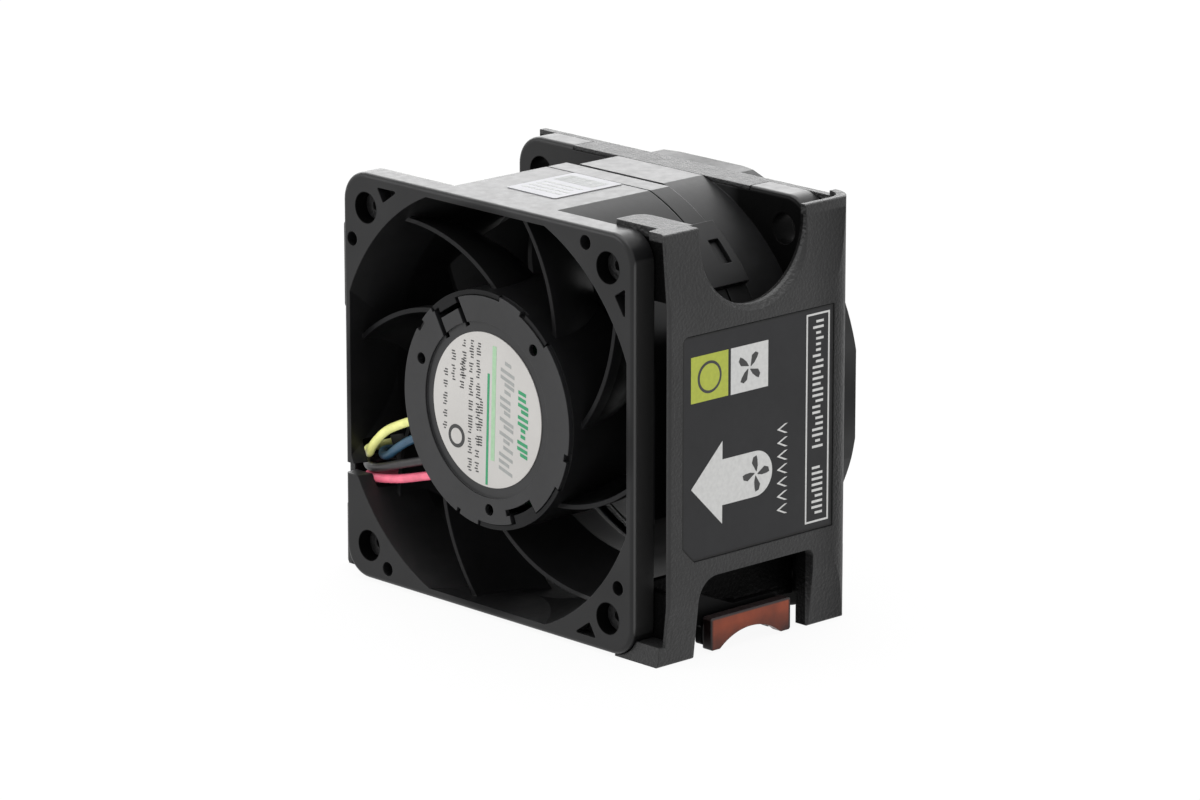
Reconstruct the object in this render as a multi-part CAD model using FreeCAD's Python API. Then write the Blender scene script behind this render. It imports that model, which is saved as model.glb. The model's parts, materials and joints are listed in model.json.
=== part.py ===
import FreeCAD, Part
import math
import os
from FreeCAD import Vector

# Server fan module: a 60 mm axial fan with outlet stator vanes, held in a clip-on side carrier
# with a touch latch and a blind-mate connector.
#
# Working axes: X across the fan towards the label side, Y from the outlet face to the inlet,
# Z up. The rotor turns about Y, and Y = 0 is the outlet face. All lengths are millimetres.
# The finished parts are shifted so that the origin is the middle of the module's base.

# ---------------------------------------------------------------- driving dimensions
# fan frame
frame_side = 60.0
frame_depth = 38.0
flange_thickness = 4.0
flange_corner_r = 4.5
hole_inset = 5.0           # corner hole axes inside the frame's sides
hole_r = 2.25
tooling_hole_r = 1.05
tooling_hole_depth = 2.0
tooling_holes = [(-1, 2.0, 1, 10.0), (1, 9.5, 1, 2.2), (-1, 9.0, -1, 2.3), (1, 3.0, -1, 9.8)]
pocket_margin = 1.6        # triangular core-outs beside three of the corner holes
pocket_length = 4.4
pocket_offset = 2.4        # from the corner hole's axis
pocket_tip = 1.3
pocket_width = 2.1
shell_bulge = 1.8          # round body's radius over half the frame; it is cut off flush
shell_wall = 3.1
seam_y = 21.8              # joint between the outlet and inlet halves
seam_groove_width = 0.15   # on each half
seam_groove_depth = 0.5
flat_groove_depth = 0.3    # on the flat sides, where the wall is thin
flange_edge_r = 0.7
outlet_flare = 2.5         # widening of the duct at the outlet face
outlet_flare_length = 9.0
inlet_flare = 1.1
inlet_flare_length = 2.5
collar_width = 3.8         # raised band on the inlet half next to the seam
collar_step = 0.6
collar_groove_width = 0.7
collar_groove_depth = 1.3
clip_width = 10.4          # snap clips across the seam, one on each diagonal
clip_thickness = 1.1
clip_root = 5.0
clip_root_depth = 0.3
clip_window_width = 4.1
clip_window_length = 2.0
clip_window_margin = 1.4
clip_play = 0.15
clip_catch = 0.45          # how far the snap wedge stands out of the body

# stator vanes
vane_count = 8
vane_front_y = 2.4
vane_rear_y = 12.6
vane_thickness = 1.3
vane_sweep = 34.0          # degrees that the tip leads the root
vane_lean = 4.2            # how far the vane's inlet edge leans round at mid span
lead_vane_index = 4        # the vane that the leads cross
lead_vane_drop = 2.4       # how far it stands back to clear them
vane_inset = 0.5           # vanes end inside the flat sides

# motor base, cover and label
base_r = 17.2
base_wall = 1.2
base_rim_y = 0.9
rim_lug_y = 0.3            # lugs on the base's rim come this near the outlet face
rim_lug_wall = 0.7
rim_lugs = ((44, 62), (81, 131), (265, 329))
web_y = 12.0
web_thickness = 1.4
boss_r = 7.6
boss_front = 2.4
boss_rear = 2.0
board_post_r = 1.2
board_post_inset = 2.0     # post axes inside the board's rim
cover_front_y = 0.1
cover_edge = 0.1           # how far the cover stays inside the base
cover_lip_wall = 0.9
cover_lip_depth = 1.5
cover_fit = 0.15
cover_hole_r = 0.85
cover_hole_inset = 2.8     # hole axes inside the base's rim
cover_holes = (47.0, 159.5, 272.5)
cover_notches = ((62, 65), (141, 147), (248.5, 251), (345, 349))
tongue_angle = 120.5
tongue_width = 4.0
tongue_slot = 0.9
tongue_length = 2.85
tongue_end_inset = 2.45
catch_length = 1.6         # base's catch beyond the tongue
hook_start = 291.3         # bayonet hook of the base that shows through the cover
hook_end = 307.7
hook_length = 1.9
hook_travel = 2.7          # degrees that the cover turns to lock
hook_slot_width = 0.9
hook_slot_start = 286.0
label_border = 1.5
label_recess_inset = 4.5   # recess edge inside the base's rim
label_recess_depth = 0.35
label_thickness = 0.12

# bearings and shaft
bearing_bore_r = 1.5
bearing_outer_r = 4.0
bearing_width = 4.0
bearing_inner_race_r = 2.15
bearing_outer_race_r = 3.3
ball_r = 0.79
ball_count = 7
ball_play = 0.04
cage_thickness = 0.5
cage_width = 1.7
tube_r = 5.1
tube_front_y = 3.2
tube_set_back = 6.4        # inside the frame's inlet face
tube_shoulder_r = 3.3
shaft_front_y = 2.2
shaft_overhang = 0.7       # behind the cup's floor
clip_ring_r = 2.5
clip_ring_thickness = 0.4
clip_groove_depth = 0.3

# stator
stack_y = 18.4
stack_room = 7.1           # behind the stack, to the cup's floor
stack_r = 12.1
stack_yoke_r = 6.9
tooth_count = 6
tooth_width = 2.4
shoe_depth = 1.3
shoe_gap = 1.9
insulator_thickness = 0.8
coil_build = 1.15
coil_inner_r = 7.7
coil_outer_r = 10.3
coil_play = 0.05
board_rim_play = 0.6
board_thickness = 1.2
board_y = 8.2
board_hole_play = 0.3
chip_side = 5.0
chip_inset_x = 4.5         # outer corner inside the board's rim, to the lower right
chip_inset_z = 4.4
chip_height = 1.5
sensor_side = 3.0
sensor_inset = 1.2
sensor_height = 1.1
right_capacitor = (4.0, 1.6, 2.0, 4.6)  # inset in x, z, radius, height
left_capacitor = (6.4, 6.8, 1.5, 3.6)  # inset in x, inset in z, radius, height
resistor_angles = (78.0, 104.0, 352.0, 255.0, 268.0)
resistor_inset = 2.8
resistor_length = 2.0
resistor_width = 1.2
resistor_height = 0.6
terminal_side = 0.64
terminal_radius = 6.2
terminal_play = 0.25
terminal_stand = 0.8       # out of the board on the outlet side
terminal_fit = 0.02

# rotor
air_gap = 0.4
magnet_thickness = 1.4
magnet_y = 16.2
magnet_room = 4.3          # behind the magnet, to the cup's floor
rotor_cup_thickness = 0.9
rotor_cup_front_y = 15.3
rotor_hub_wall = 1.8
rotor_hub_front_y = 14.5
rotor_hub_set_back = 1.2   # inside the frame's inlet face
rotor_nose_r = 3.0
bushing_r = 4.2
bushing_neck_r = 2.8
bushing_flange = 1.0
spring_height = 0.9
spring_thickness = 0.25
spring_outer_r = 2.9
spring_slope_width = 0.9
spring_play = 0.05
blade_count = 7
blade_front_y = 15.4
blade_set_back = 2.8
blade_thickness = 1.3
blade_tip_gap = 0.5
blade_root_lead = 9.5      # tangential run of the blade from outlet edge to inlet edge
blade_tip_lead = 19.0
blade_sweep = 16.0         # degrees that the tip lags the root

# side carrier
carrier_gap = 5.0          # outer faces of the label plate and arm stand this far off the fan
carrier_plate_wall = 2.0
carrier_side_gap = 0.5     # rear wall ends this far inside the frame's side above the arm
carrier_front_y = 2.0
carrier_taper = 1.0        # the plate leans in by this much at its top and bottom
carrier_taper_low = 8.5
carrier_taper_high = 10.5
carrier_top_rise = 0.7     # over the frame
carrier_bottom_drop = 0.45  # below the frame
carrier_corner_r = 5.0
carrier_lip = 0.5          # the plate's front edge is bevelled from inside down to this
carrier_lip_length = 2.2
front_foot_y = 0.9         # foot that wraps the front flange's lower corner
front_foot_height = 3.0
rear_foot_gap = 1.6        # beside the frame
rear_foot_height = 10.45
carrier_rear_wall = 1.2
carrier_arm_wall = 1.6
carrier_arm_front_y = 5.0
carrier_arm_height = 44.45
carrier_opening_play = 0.1  # round the guard's bore
wing_gap = 0.3             # between the front flange and the wings behind it
wing_thickness = 1.5
wing_inset = 7.0           # inner edges inside the frame's sides
left_wing_low = 9.0        # left upper wing's edge below the frame's top
left_wing_slant = 4.0      # it drops by this much beside the frame
left_wing_reach = 1.2      # round the frame's side
left_wing_overlap = 6.0    # down the connector arm
wing_depth = 4.6
wing_cap = 1.2
wing_cap_length = 8.0      # cap over the upper right wing, inside the frame's side
wing_cap_width = 5.1
wing_cap_corner_r = 2.0
wing_cap_nose_y = 2.3      # beside the flange the cap comes this far forward
pin_r = 2.1
pin_recess = 2.0
scallop_y = 18.9
scallop_drop = 1.9         # its axis below the plate's top
scallop_r = 10.35
scallop_bevel = 0.8
notch_front_y = 7.8
notch_rear_margin = 7.7    # to the frame's inlet face
notch_height = 11.65
notch_front_corner_r = 3.6
notch_rear_corner_r = 1.2
recess_front_y = 4.6
recess_rear_margin = 3.9   # to the frame's inlet face
recess_low_margin = 14.25  # above the plate's bottom
recess_high_margin = 14.6  # below the plate's top
recess_depth = 0.3
recess_chamfer = 2.3
plate_label_margin = 0.15
plate_label_thickness = 0.15
tab_width = 36.0
tab_thickness = 0.6
tab_play = 0.05

# inlet guard
guard_bulge = 0.8          # ring's radius over half the frame
guard_flat_depth = 1.4
guard_wall = 1.9
guard_lip = 0.9
guard_depth = 5.1
guard_edge = 0.7
grille_depth = 1.8
grille_set_back = 0.2
grille_rib = 1.1
grille_hub_r = 6.2
grille_ring_count = 4
grille_spoke_count = 6
grille_spoke_width = 1.5

# touch latch
latch_arm_gap = 0.6        # beside the frame
latch_arm_thickness = 1.2
latch_root_gap = 0.3
latch_arm_rise = 3.65      # over the carrier's bottom
latch_arm_height = 4.8
latch_neck_length = 7.0
latch_straight = 4.4       # from the arm's root to the neck
pad_front_gap = 3.4        # to the notch's front edge
pad_rear_gap = 3.5         # to its rear edge
pad_rise = 0.35            # over the carrier's bottom
pad_height = 4.7
pad_set_back = 1.0         # behind the label plate's outer face
pad_thickness = 1.6
pad_arch_r = 9.6
pad_arch_rise = 2.1
latch_back_margin = 0.3
latch_flange_thickness = 1.0  # stiffening flange along the arm's upper edge
latch_flange_reach = 1.0   # towards the fan
latch_flange_run = 2.0     # beyond the neck
stop_wall_gap = 3.1        # wall that limits the arm's travel
stop_wall_thickness = 1.0
stop_wall_rise = 2.85
stop_wall_height = 7.3

# connector and leads
connector_width = 7.0
connector_play = 0.2       # to the carrier's arm
connector_gap = 0.6        # to the snap clips of the frame
connector_front_y = 9.6
connector_length = 14.2
connector_rise = 0.15      # over the carrier's bottom
cradle_wall = 1.0
cradle_rise = 2.95
cradle_height = 5.0
cradle_play = 0.15
contact_pitch = 3.0
contact_slot_x = 2.6
contact_slot_y = 1.1
contact_wall = 0.25
contact_margin = 0.3
contact_fit = 0.03
contact_recess = 1.0
slot_roof = 2.0            # connector material above the contact slots
lead_r = 0.65
lead_window_rise = 13.2    # over the frame's bottom
lead_window_height = 6.6
lead_window_front_y = 2.2
lead_window_rear_y = 8.5
lead_window_depth = 5.4    # how far the window reaches in from the flat side
lead_slot_rise = 15.0
lead_slot_height = 1.6
lead_straight = 3.4        # run down into the connector
lead_insertion = 2.0
lead_play = 0.12
lead_bends = {             # from the lower left corner of the outlet face, in contact order
    "red": [(21.8, 1.62, 19.0), (16.5, 1.62, 17.5), (9.9, 1.8, 15.6), (5.0, 2.5, 14.6),
            (1.6, 3.4, 13.95), (-1.2, 5.6, 13.6), (-1.0, 8.6, 13.6)],
    "black": [(19.6, 1.62, 20.9), (14.4, 1.62, 19.2), (8.9, 1.8, 17.5), (4.6, 2.4, 16.1),
              (1.3, 3.3, 15.5), (-1.9, 5.8, 15.4), (-1.8, 10.8, 15.2)],
    "blue": [(18.2, 1.62, 23.9), (12.9, 1.62, 22.3), (9.0, 1.9, 20.0), (5.6, 3.4, 17.9),
             (2.0, 5.4, 16.9), (-0.8, 8.0, 16.7), (-0.75, 13.6, 16.0)],
    "yellow": [(18.2, 1.62, 26.8), (12.2, 1.62, 24.7), (7.1, 1.62, 22.4), (3.9, 1.9, 19.6),
               (1.6, 3.2, 17.4), (-1.9, 5.8, 17.2), (-1.8, 16.4, 17.0)],
}
lead_notch_start = 188.0
lead_notch_end = 230.0

# top sticker
sticker_width = 10.0
sticker_front_y = 8.5
sticker_seam_gap = 0.2
sticker_thickness = 0.1

# ---------------------------------------------------------------- derived sizes
half_side = frame_side / 2
shell_r = half_side + shell_bulge
bore_r = shell_r - shell_wall
outlet_flare_r = bore_r + outlet_flare
inlet_flare_r = bore_r + inlet_flare
guard_r = half_side + guard_bulge
guard_flat = guard_r - guard_flat_depth
guard_bore_r = guard_r - guard_wall
guard_mouth_r = guard_r - guard_lip
grille_ring_pitch = (guard_bore_r - grille_hub_r) / (grille_ring_count + 1)
half_pitch = half_side - hole_inset
rear_flange_y = frame_depth - flange_thickness
collar_end_y = seam_y + collar_width
base_inner_r = base_r - base_wall
board_r = base_inner_r - board_rim_play
board_post_radius = board_r - board_post_inset
resistor_radius = board_r - resistor_inset
cover_hole_radius = base_r - cover_hole_inset
tongue_end_r = base_r - tongue_end_inset
tongue_root_r = tongue_end_r - tongue_length
tongue_catch_r = base_r - catch_length
hook_inner_r = base_r - hook_length
hook_slot_r = hook_inner_r - cover_edge - hook_slot_width
label_recess_r = base_r - label_recess_inset
label_r = label_recess_r - label_border
web_rear_y = web_y + web_thickness
shaft_r = bearing_bore_r
ball_orbit_r = (bearing_inner_race_r + bearing_outer_race_r) / 2
tube_rear_y = frame_depth - tube_set_back
front_bearing_y = tube_front_y + clip_ring_thickness
rear_bearing_y = tube_rear_y - bearing_width
bushing_y = tube_rear_y + spring_height
magnet_inner_r = stack_r + air_gap
magnet_outer_r = magnet_inner_r + magnet_thickness
rotor_cup_r = magnet_outer_r + rotor_cup_thickness
rotor_hub_r = rotor_cup_r + rotor_hub_wall
rotor_cup_floor_y = bushing_y + bushing_flange
shaft_rear_y = rotor_cup_floor_y + rotor_cup_thickness + shaft_overhang
stack_length = rotor_cup_floor_y - stack_room - stack_y
magnet_length = rotor_cup_floor_y - magnet_room - magnet_y
rotor_hub_rear_y = frame_depth - rotor_hub_set_back
blade_tip_r = bore_r - blade_tip_gap
blade_rear_y = frame_depth - blade_set_back
flat_r = bore_r            # the duct is never wider than its round bore across the flats
carrier_plate_x = half_side + carrier_gap
carrier_arm_x = -carrier_plate_x
carrier_rear_y = frame_depth + carrier_rear_wall
carrier_inner_x = carrier_plate_x - carrier_plate_wall
carrier_top_z = half_side + carrier_top_rise
carrier_bottom_z = -half_side - carrier_bottom_drop
carrier_arm_top_z = carrier_bottom_z + carrier_arm_height
rear_foot_x = half_side + rear_foot_gap
carrier_opening_r = guard_bore_r + carrier_opening_play
rear_foot_top_z = carrier_bottom_z + rear_foot_height
scallop_z = carrier_top_z - scallop_drop
notch_rear_y = frame_depth - notch_rear_margin
notch_top_z = carrier_bottom_z + notch_height
recess_rear_y = frame_depth - recess_rear_margin
recess_low_z = carrier_bottom_z + recess_low_margin
recess_high_z = carrier_top_z - recess_high_margin
wing_front_y = flange_thickness + wing_gap
wing_rear_y = wing_front_y + wing_thickness
wing_cap_x = half_side - wing_cap_length
wing_cap_rear_y = wing_front_y + wing_cap_width
guard_front_y = carrier_rear_y
guard_rear_y = guard_front_y + guard_depth
grille_front_y = guard_rear_y - grille_depth
latch_root_y = wing_rear_y + latch_root_gap
latch_arm_x = half_side + latch_arm_gap
latch_arm_low_z = carrier_bottom_z + latch_arm_rise
latch_arm_high_z = latch_arm_low_z + latch_arm_height
latch_neck_y = latch_root_y + latch_straight
latch_neck_end_y = latch_neck_y + latch_neck_length
latch_flange_x = latch_arm_x - latch_flange_reach
latch_flange_end_y = latch_neck_end_y + latch_flange_run
pad_front_y = notch_front_y + pad_front_gap
pad_rear_y = notch_rear_y - pad_rear_gap
pad_low_z = carrier_bottom_z + pad_rise
pad_high_z = pad_low_z + pad_height
pad_outer_x = carrier_plate_x - pad_set_back
stop_wall_x = latch_arm_x - stop_wall_gap
stop_wall_low_z = carrier_bottom_z + stop_wall_rise
stop_wall_top_z = stop_wall_low_z + stop_wall_height
lead_window_low_z = lead_window_rise - half_side
lead_window_high_z = lead_window_low_z + lead_window_height
lead_slot_low_z = lead_slot_rise - half_side
lead_slot_high_z = lead_slot_low_z + lead_slot_height
connector_rear_y = connector_front_y + connector_length
connector_low_x = carrier_arm_x + carrier_arm_wall + connector_play
connector_high_x = connector_low_x + connector_width
connector_high_z = -math.sqrt((shell_r + clip_thickness + connector_gap) ** 2
                              - connector_high_x ** 2)
connector_mid_x = (connector_low_x + connector_high_x) / 2
connector_low_z = carrier_bottom_z + connector_rise
cradle_low_z = carrier_bottom_z + cradle_rise
cradle_high_z = cradle_low_z + cradle_height
contact_start_y = (connector_front_y + connector_rear_y) / 2 - 1.5 * contact_pitch
sticker_rear_y = seam_y - sticker_seam_gap
overshoot = 1.0            # how far a cutter runs past the face that it cuts
root = 0.4                 # how far a rib or tooth reaches into what carries it

module_low_y = 0.0
module_high_y = guard_rear_y
row_shift = Vector(-(carrier_plate_x + carrier_arm_x) / 2,
                   -(module_low_y + module_high_y) / 2,
                   -carrier_bottom_z)


# ---------------------------------------------------------------- helpers
def box(x0, x1, y0, y1, z0, z1):
    """Block between two corners."""
    return Part.makeBox(x1 - x0, y1 - y0, z1 - z0, Vector(x0, y0, z0))


def disc(r, y0, y1, x=0.0, z=0.0):
    """Cylinder along Y."""
    return Part.makeCylinder(r, y1 - y0, Vector(x, y0, z), Vector(0, 1, 0))


def cone(r0, r1, y0, y1):
    """Cone along Y on the rotor axis."""
    return Part.makeCone(r0, r1, y1 - y0, Vector(0, y0, 0), Vector(0, 1, 0))


def ring(outer_r, inner_r, y0, y1):
    """Tube along Y on the rotor axis."""
    return disc(outer_r, y0, y1).cut(disc(inner_r, y0 - overshoot, y1 + overshoot))


def in_xz(y):
    return lambda u, v: Vector(u, y, v)


def in_yz(x):
    return lambda u, v: Vector(x, u, v)


def in_xy(z):
    return lambda u, v: Vector(u, v, z)


def outline(points, radii, plane):
    """Face bounded by a polygon whose corners are rounded by the given radii."""
    corners = [plane(u, v) for u, v in points]
    edges = []
    ends = []
    for i, corner in enumerate(corners):
        before = (corners[i - 1] - corner).normalize()
        after = (corners[(i + 1) % len(corners)] - corner).normalize()
        if radii[i] > 0:
            half_turn = before.getAngle(after) / 2
            reach = radii[i] / math.tan(half_turn)
            start = corner + before * reach
            end = corner + after * reach
            middle_dir = (before + after).normalize()
            middle = corner + middle_dir * (radii[i] / math.sin(half_turn) - radii[i])
            ends.append((start, end, Part.Arc(start, middle, end).toShape()))
        else:
            ends.append((corner, corner, None))
    for i, (start, end, arc) in enumerate(ends):
        if arc:
            edges.append(arc)
        following = ends[(i + 1) % len(ends)][0]
        if end.distanceToPoint(following) > 1e-6:
            edges.append(Part.LineSegment(end, following).toShape())
    return Part.Face(Part.Wire(edges))


def slab(points, radii, plane, direction):
    """Outline pushed along a direction."""
    if not isinstance(radii, (list, tuple)):
        radii = [radii] * len(points)
    return outline(points, radii, plane).extrude(direction)


def rectangle(u0, u1, v0, v1):
    return [(u0, v0), (u1, v0), (u1, v1), (u0, v1)]


def rounded_prism(half, corner_r, y0, y1):
    """Square prism along Y with rounded corners."""
    return slab(rectangle(-half, half, -half, half), corner_r, in_xz(y0), Vector(0, y1 - y0, 0))


def revolved(profile):
    """Solid turned about the rotor axis from (radius, y) points."""
    points = [Vector(r, y, 0) for r, y in profile]
    wire = Part.makePolygon(points + points[:1])
    return Part.Face(wire).revolve(Vector(0, 0, 0), Vector(0, 1, 0), 360)


def turned(shape, degrees):
    """Copy turned about the rotor axis, counter-clockwise as seen from the outlet."""
    copy = shape.copy()
    copy.rotate(Vector(0, 0, 0), Vector(0, -1, 0), degrees)
    return copy


def polar(r, degrees, y=0.0):
    angle = math.radians(degrees)
    return Vector(r * math.cos(angle), y, r * math.sin(angle))


def around(shape, count, start=0.0):
    """Copies of a shape spaced evenly about the rotor axis."""
    return [turned(shape, start + 360.0 * i / count) for i in range(count)]


def at_corners(shape):
    """Copies at the four corner holes of a shape modelled on the rotor axis."""
    copies = []
    for sx in (-1, 1):
        for sz in (-1, 1):
            copy = shape.copy()
            copy.translate(Vector(sx * half_pitch, 0, sz * half_pitch))
            copies.append(copy)
    return copies


def curved_blade(root_r, tip_r, front_y, rear_y, thickness, angle_at, spans=4, chords=5):
    """Swept and twisted blade; angle_at(r, s) gives its middle line at chord share s."""
    sides = []
    for side in (-0.5, 0.5):
        rows = []
        for i in range(spans):
            r = root_r + (tip_r - root_r) * i / (spans - 1)
            row = []
            for j in range(chords):
                s = j / (chords - 1)
                taper = 0.55 + 0.45 * math.sin(math.pi * (0.15 + 0.7 * s))
                offset = math.degrees(side * thickness * taper / r)
                row.append(polar(r, angle_at(r, s) + offset, front_y + (rear_y - front_y) * s))
            rows.append(row)
        surface = Part.BSplineSurface()
        surface.interpolate(rows)
        sides.append(surface)
    faces = [surface.toShape() for surface in sides]
    u0, u1, v0, v1 = sides[0].bounds()
    for u in (u0, u1):
        faces.append(Part.makeRuledSurface(sides[0].uIso(u).toShape(), sides[1].uIso(u).toShape()))
    for v in (v0, v1):
        faces.append(Part.makeRuledSurface(sides[0].vIso(v).toShape(), sides[1].vIso(v).toShape()))
    shell = Part.makeShell(faces)
    shell.sewShape()
    solid = Part.Solid(shell)
    if solid.Volume < 0:
        solid.reverse()
    return solid


# ---------------------------------------------------------------- fan housing
def duct_space(y0, flare_y):
    """The airway: a round bore that opens towards the flange, within the flats."""
    flats = box(-flat_r, flat_r, -overshoot, frame_depth + overshoot, -flat_r, flat_r)
    if flare_y < seam_y:
        flare = cone(outlet_flare_r, bore_r, 0.0, outlet_flare_length)
        lead_in = disc(outlet_flare_r, -overshoot, 0.0)
    else:
        flare = cone(bore_r, inlet_flare_r, frame_depth - inlet_flare_length, frame_depth)
        lead_in = disc(inlet_flare_r, frame_depth, frame_depth + overshoot)
    straight = disc(bore_r, y0, y0 + frame_depth)
    return straight.multiFuse([flare.common(flats), lead_in.common(flats)])


def shell_body(r, y0, y1):
    """Round body cut off flush with the frame."""
    return disc(r, y0, y1).common(box(-half_side, half_side, y0, y1, -half_side, half_side))


def body_groove(depth, y0, y1):
    """Cutter for a groove round the body, shallower across the flat sides."""
    reach = half_side - flat_groove_depth
    core = disc(shell_r - depth, y0, y1).common(box(-reach, reach, y0, y1, -reach, reach))
    return disc(frame_side, y0, y1).cut(core)


def flange(y0, y1):
    """Square flange with its outlet edge rounded."""
    body = rounded_prism(half_side, flange_corner_r, y0, y1)
    body = body.makeFillet(flange_edge_r, [e for e in body.Edges if e.BoundBox.YMax < y0 + 1e-3])
    return body.cut(at_corners(disc(hole_r, y0 - overshoot, y1 + overshoot)))


def clip_block(r0, r1, width, y0, y1):
    """Curved block on the upper right diagonal, before it is copied to the others."""
    block = ring(r1, r0, y0, y1).common(box(r0 / 2, r1 + overshoot, y0, y1, -width / 2, width / 2))
    return turned(block, 45.0)


def stator_vane(front_y):
    def angle_at(r, s):
        share = max(0.0, (r - base_r) / (bore_r - base_r))
        lean = math.degrees(vane_lean * s * s / ((base_r + bore_r) / 2))
        return vane_sweep * share ** 0.8 + lean

    return curved_blade(base_r - base_wall / 2, shell_r - root, front_y, vane_rear_y,
                        vane_thickness, angle_at)


def flange_pocket():
    """Triangular core-out beside the upper left corner hole."""
    far = half_side - pocket_margin
    near = far - pocket_width
    left = pocket_offset - half_pitch
    points = [(left, far), (left + pocket_length, far), (left + pocket_tip, near)]
    return slab(points, 0.2, in_xz(-overshoot), Vector(0, overshoot + tooling_hole_depth, 0))


def sector(r, start, end, y0, y1):
    """Pie slice about the rotor axis, under 180 degrees."""
    far = r / math.cos(math.radians((end - start) / 2))
    points = [Vector(0, y0, 0), polar(far, start, y0), polar(far, end, y0)]
    return Part.Face(Part.makePolygon(points + points[:1])).extrude(Vector(0, y1 - y0, 0))


def ring_sector(outer_r, inner_r, start, end, y0, y1):
    """Part of a tube about the rotor axis."""
    return ring(outer_r, inner_r, y0, y1).common(sector(outer_r + overshoot, start, end, y0, y1))


def outlet_housing():
    """Front flange, half body, stator vanes and motor base in one moulding."""
    body = shell_body(shell_r, flange_thickness / 2, seam_y).fuse(flange(0, flange_thickness))
    body = body.cut([duct_space(-overshoot, 0.0),
                     body_groove(seam_groove_depth, seam_y - seam_groove_width, seam_y)])
    base = disc(base_r, base_rim_y, web_rear_y)
    base = base.cut(disc(base_inner_r, base_rim_y - overshoot, web_y))
    boss = disc(boss_r, web_y - boss_front, web_rear_y + boss_rear)
    posts = [disc(board_post_r, board_y + board_thickness, web_y, p.x, p.z)
             for p in (polar(board_post_radius, a) for a in (20, 140, 290))]
    inside = half_side - vane_inset
    frame_core = box(-inside, inside, 0, frame_depth, -inside, inside)
    vanes = []
    for k in range(vane_count):
        drop = lead_vane_drop if k == lead_vane_index else 0.0
        vane = turned(stator_vane(vane_front_y + drop), 360.0 * k / vane_count)
        vanes.append(vane.common(frame_core))
    outer = clip_block(shell_r - clip_root_depth, shell_r + clip_thickness, clip_width,
                       seam_y - clip_root, collar_end_y)
    clearance = clip_block(shell_r - overshoot, shell_r + clip_play, clip_width + overshoot,
                           seam_y, collar_end_y + overshoot)
    window = clip_block(shell_r, shell_r + clip_thickness + overshoot, clip_window_width,
                        collar_end_y - clip_window_margin - clip_window_length,
                        collar_end_y - clip_window_margin)
    clip = outer.cut(clearance).cut(window)
    lugs = [ring_sector(base_r, base_r - rim_lug_wall, start, end, rim_lug_y, base_rim_y)
            for start, end in rim_lugs]
    hook = ring_sector(base_r, hook_inner_r, hook_start, hook_end, rim_lug_y, base_rim_y)
    half_catch = tongue_width / 2
    catch = turned(box(tongue_catch_r, base_r, rim_lug_y, base_rim_y, -half_catch, half_catch),
                   tongue_angle).common(disc(base_r, 0, base_rim_y))
    body = body.multiFuse([base, boss, hook, catch] + posts + vanes + around(clip, 4) + lugs)
    cuts = [disc(tube_r, -overshoot, frame_depth)]
    cuts += [turned(flange_pocket(), angle) for angle in (0, -90, 180)]
    for side_x, inset_x, side_z, inset_z in tooling_holes:
        cuts.append(disc(tooling_hole_r, -overshoot, tooling_hole_depth,
                         side_x * (half_side - inset_x), side_z * (half_side - inset_z)))
    for i in range(3):
        p = polar(terminal_radius, 30.0 + 120.0 * i)
        side = terminal_side / 2 + terminal_play
        cuts.append(box(p.x - side, p.x + side, web_y - boss_front - overshoot,
                        web_rear_y + boss_rear + overshoot, p.z - side, p.z + side))
    left = -half_side - overshoot
    window_end = -half_side + lead_window_depth
    cuts.append(box(left, window_end, lead_window_front_y, lead_window_rear_y,
                    lead_window_low_z, lead_window_high_z))
    cuts.append(box(left, window_end, -overshoot, lead_window_rear_y,
                    lead_slot_low_z, lead_slot_high_z))
    cuts.append(ring_sector(base_r + overshoot, base_inner_r - 0.2, lead_notch_start, lead_notch_end,
                            base_rim_y - overshoot, vane_front_y))
    return body.cut(cuts)


def inlet_housing():
    """Rear flange and half body with its collar and the four snap wedges."""
    rear = shell_body(shell_r - collar_step, seam_y, frame_depth)
    collar = shell_body(shell_r, seam_y, collar_end_y)
    wedge = clip_block(shell_r - overshoot, shell_r + clip_catch,
                       clip_window_width - 2 * clip_play,
                       collar_end_y - clip_window_margin - clip_window_length + clip_play,
                       collar_end_y - clip_window_margin - clip_play)
    body = rear.multiFuse([collar, flange(rear_flange_y, frame_depth)] + around(wedge, 4))
    body = body.cut([duct_space(seam_y - overshoot, frame_depth),
                     body_groove(seam_groove_depth, seam_y, seam_y + seam_groove_width),
                     body_groove(collar_groove_depth, collar_end_y,
                                 collar_end_y + collar_groove_width)])
    half_tab = tab_width / 2 + 3 * tab_play
    floor = half_side - tab_thickness - tab_play
    for z0, z1 in ((floor, half_side + overshoot), (-half_side - overshoot, -floor)):
        body = body.cut(box(-half_tab, half_tab, rear_flange_y, frame_depth + overshoot, z0, z1))
    return body


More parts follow.
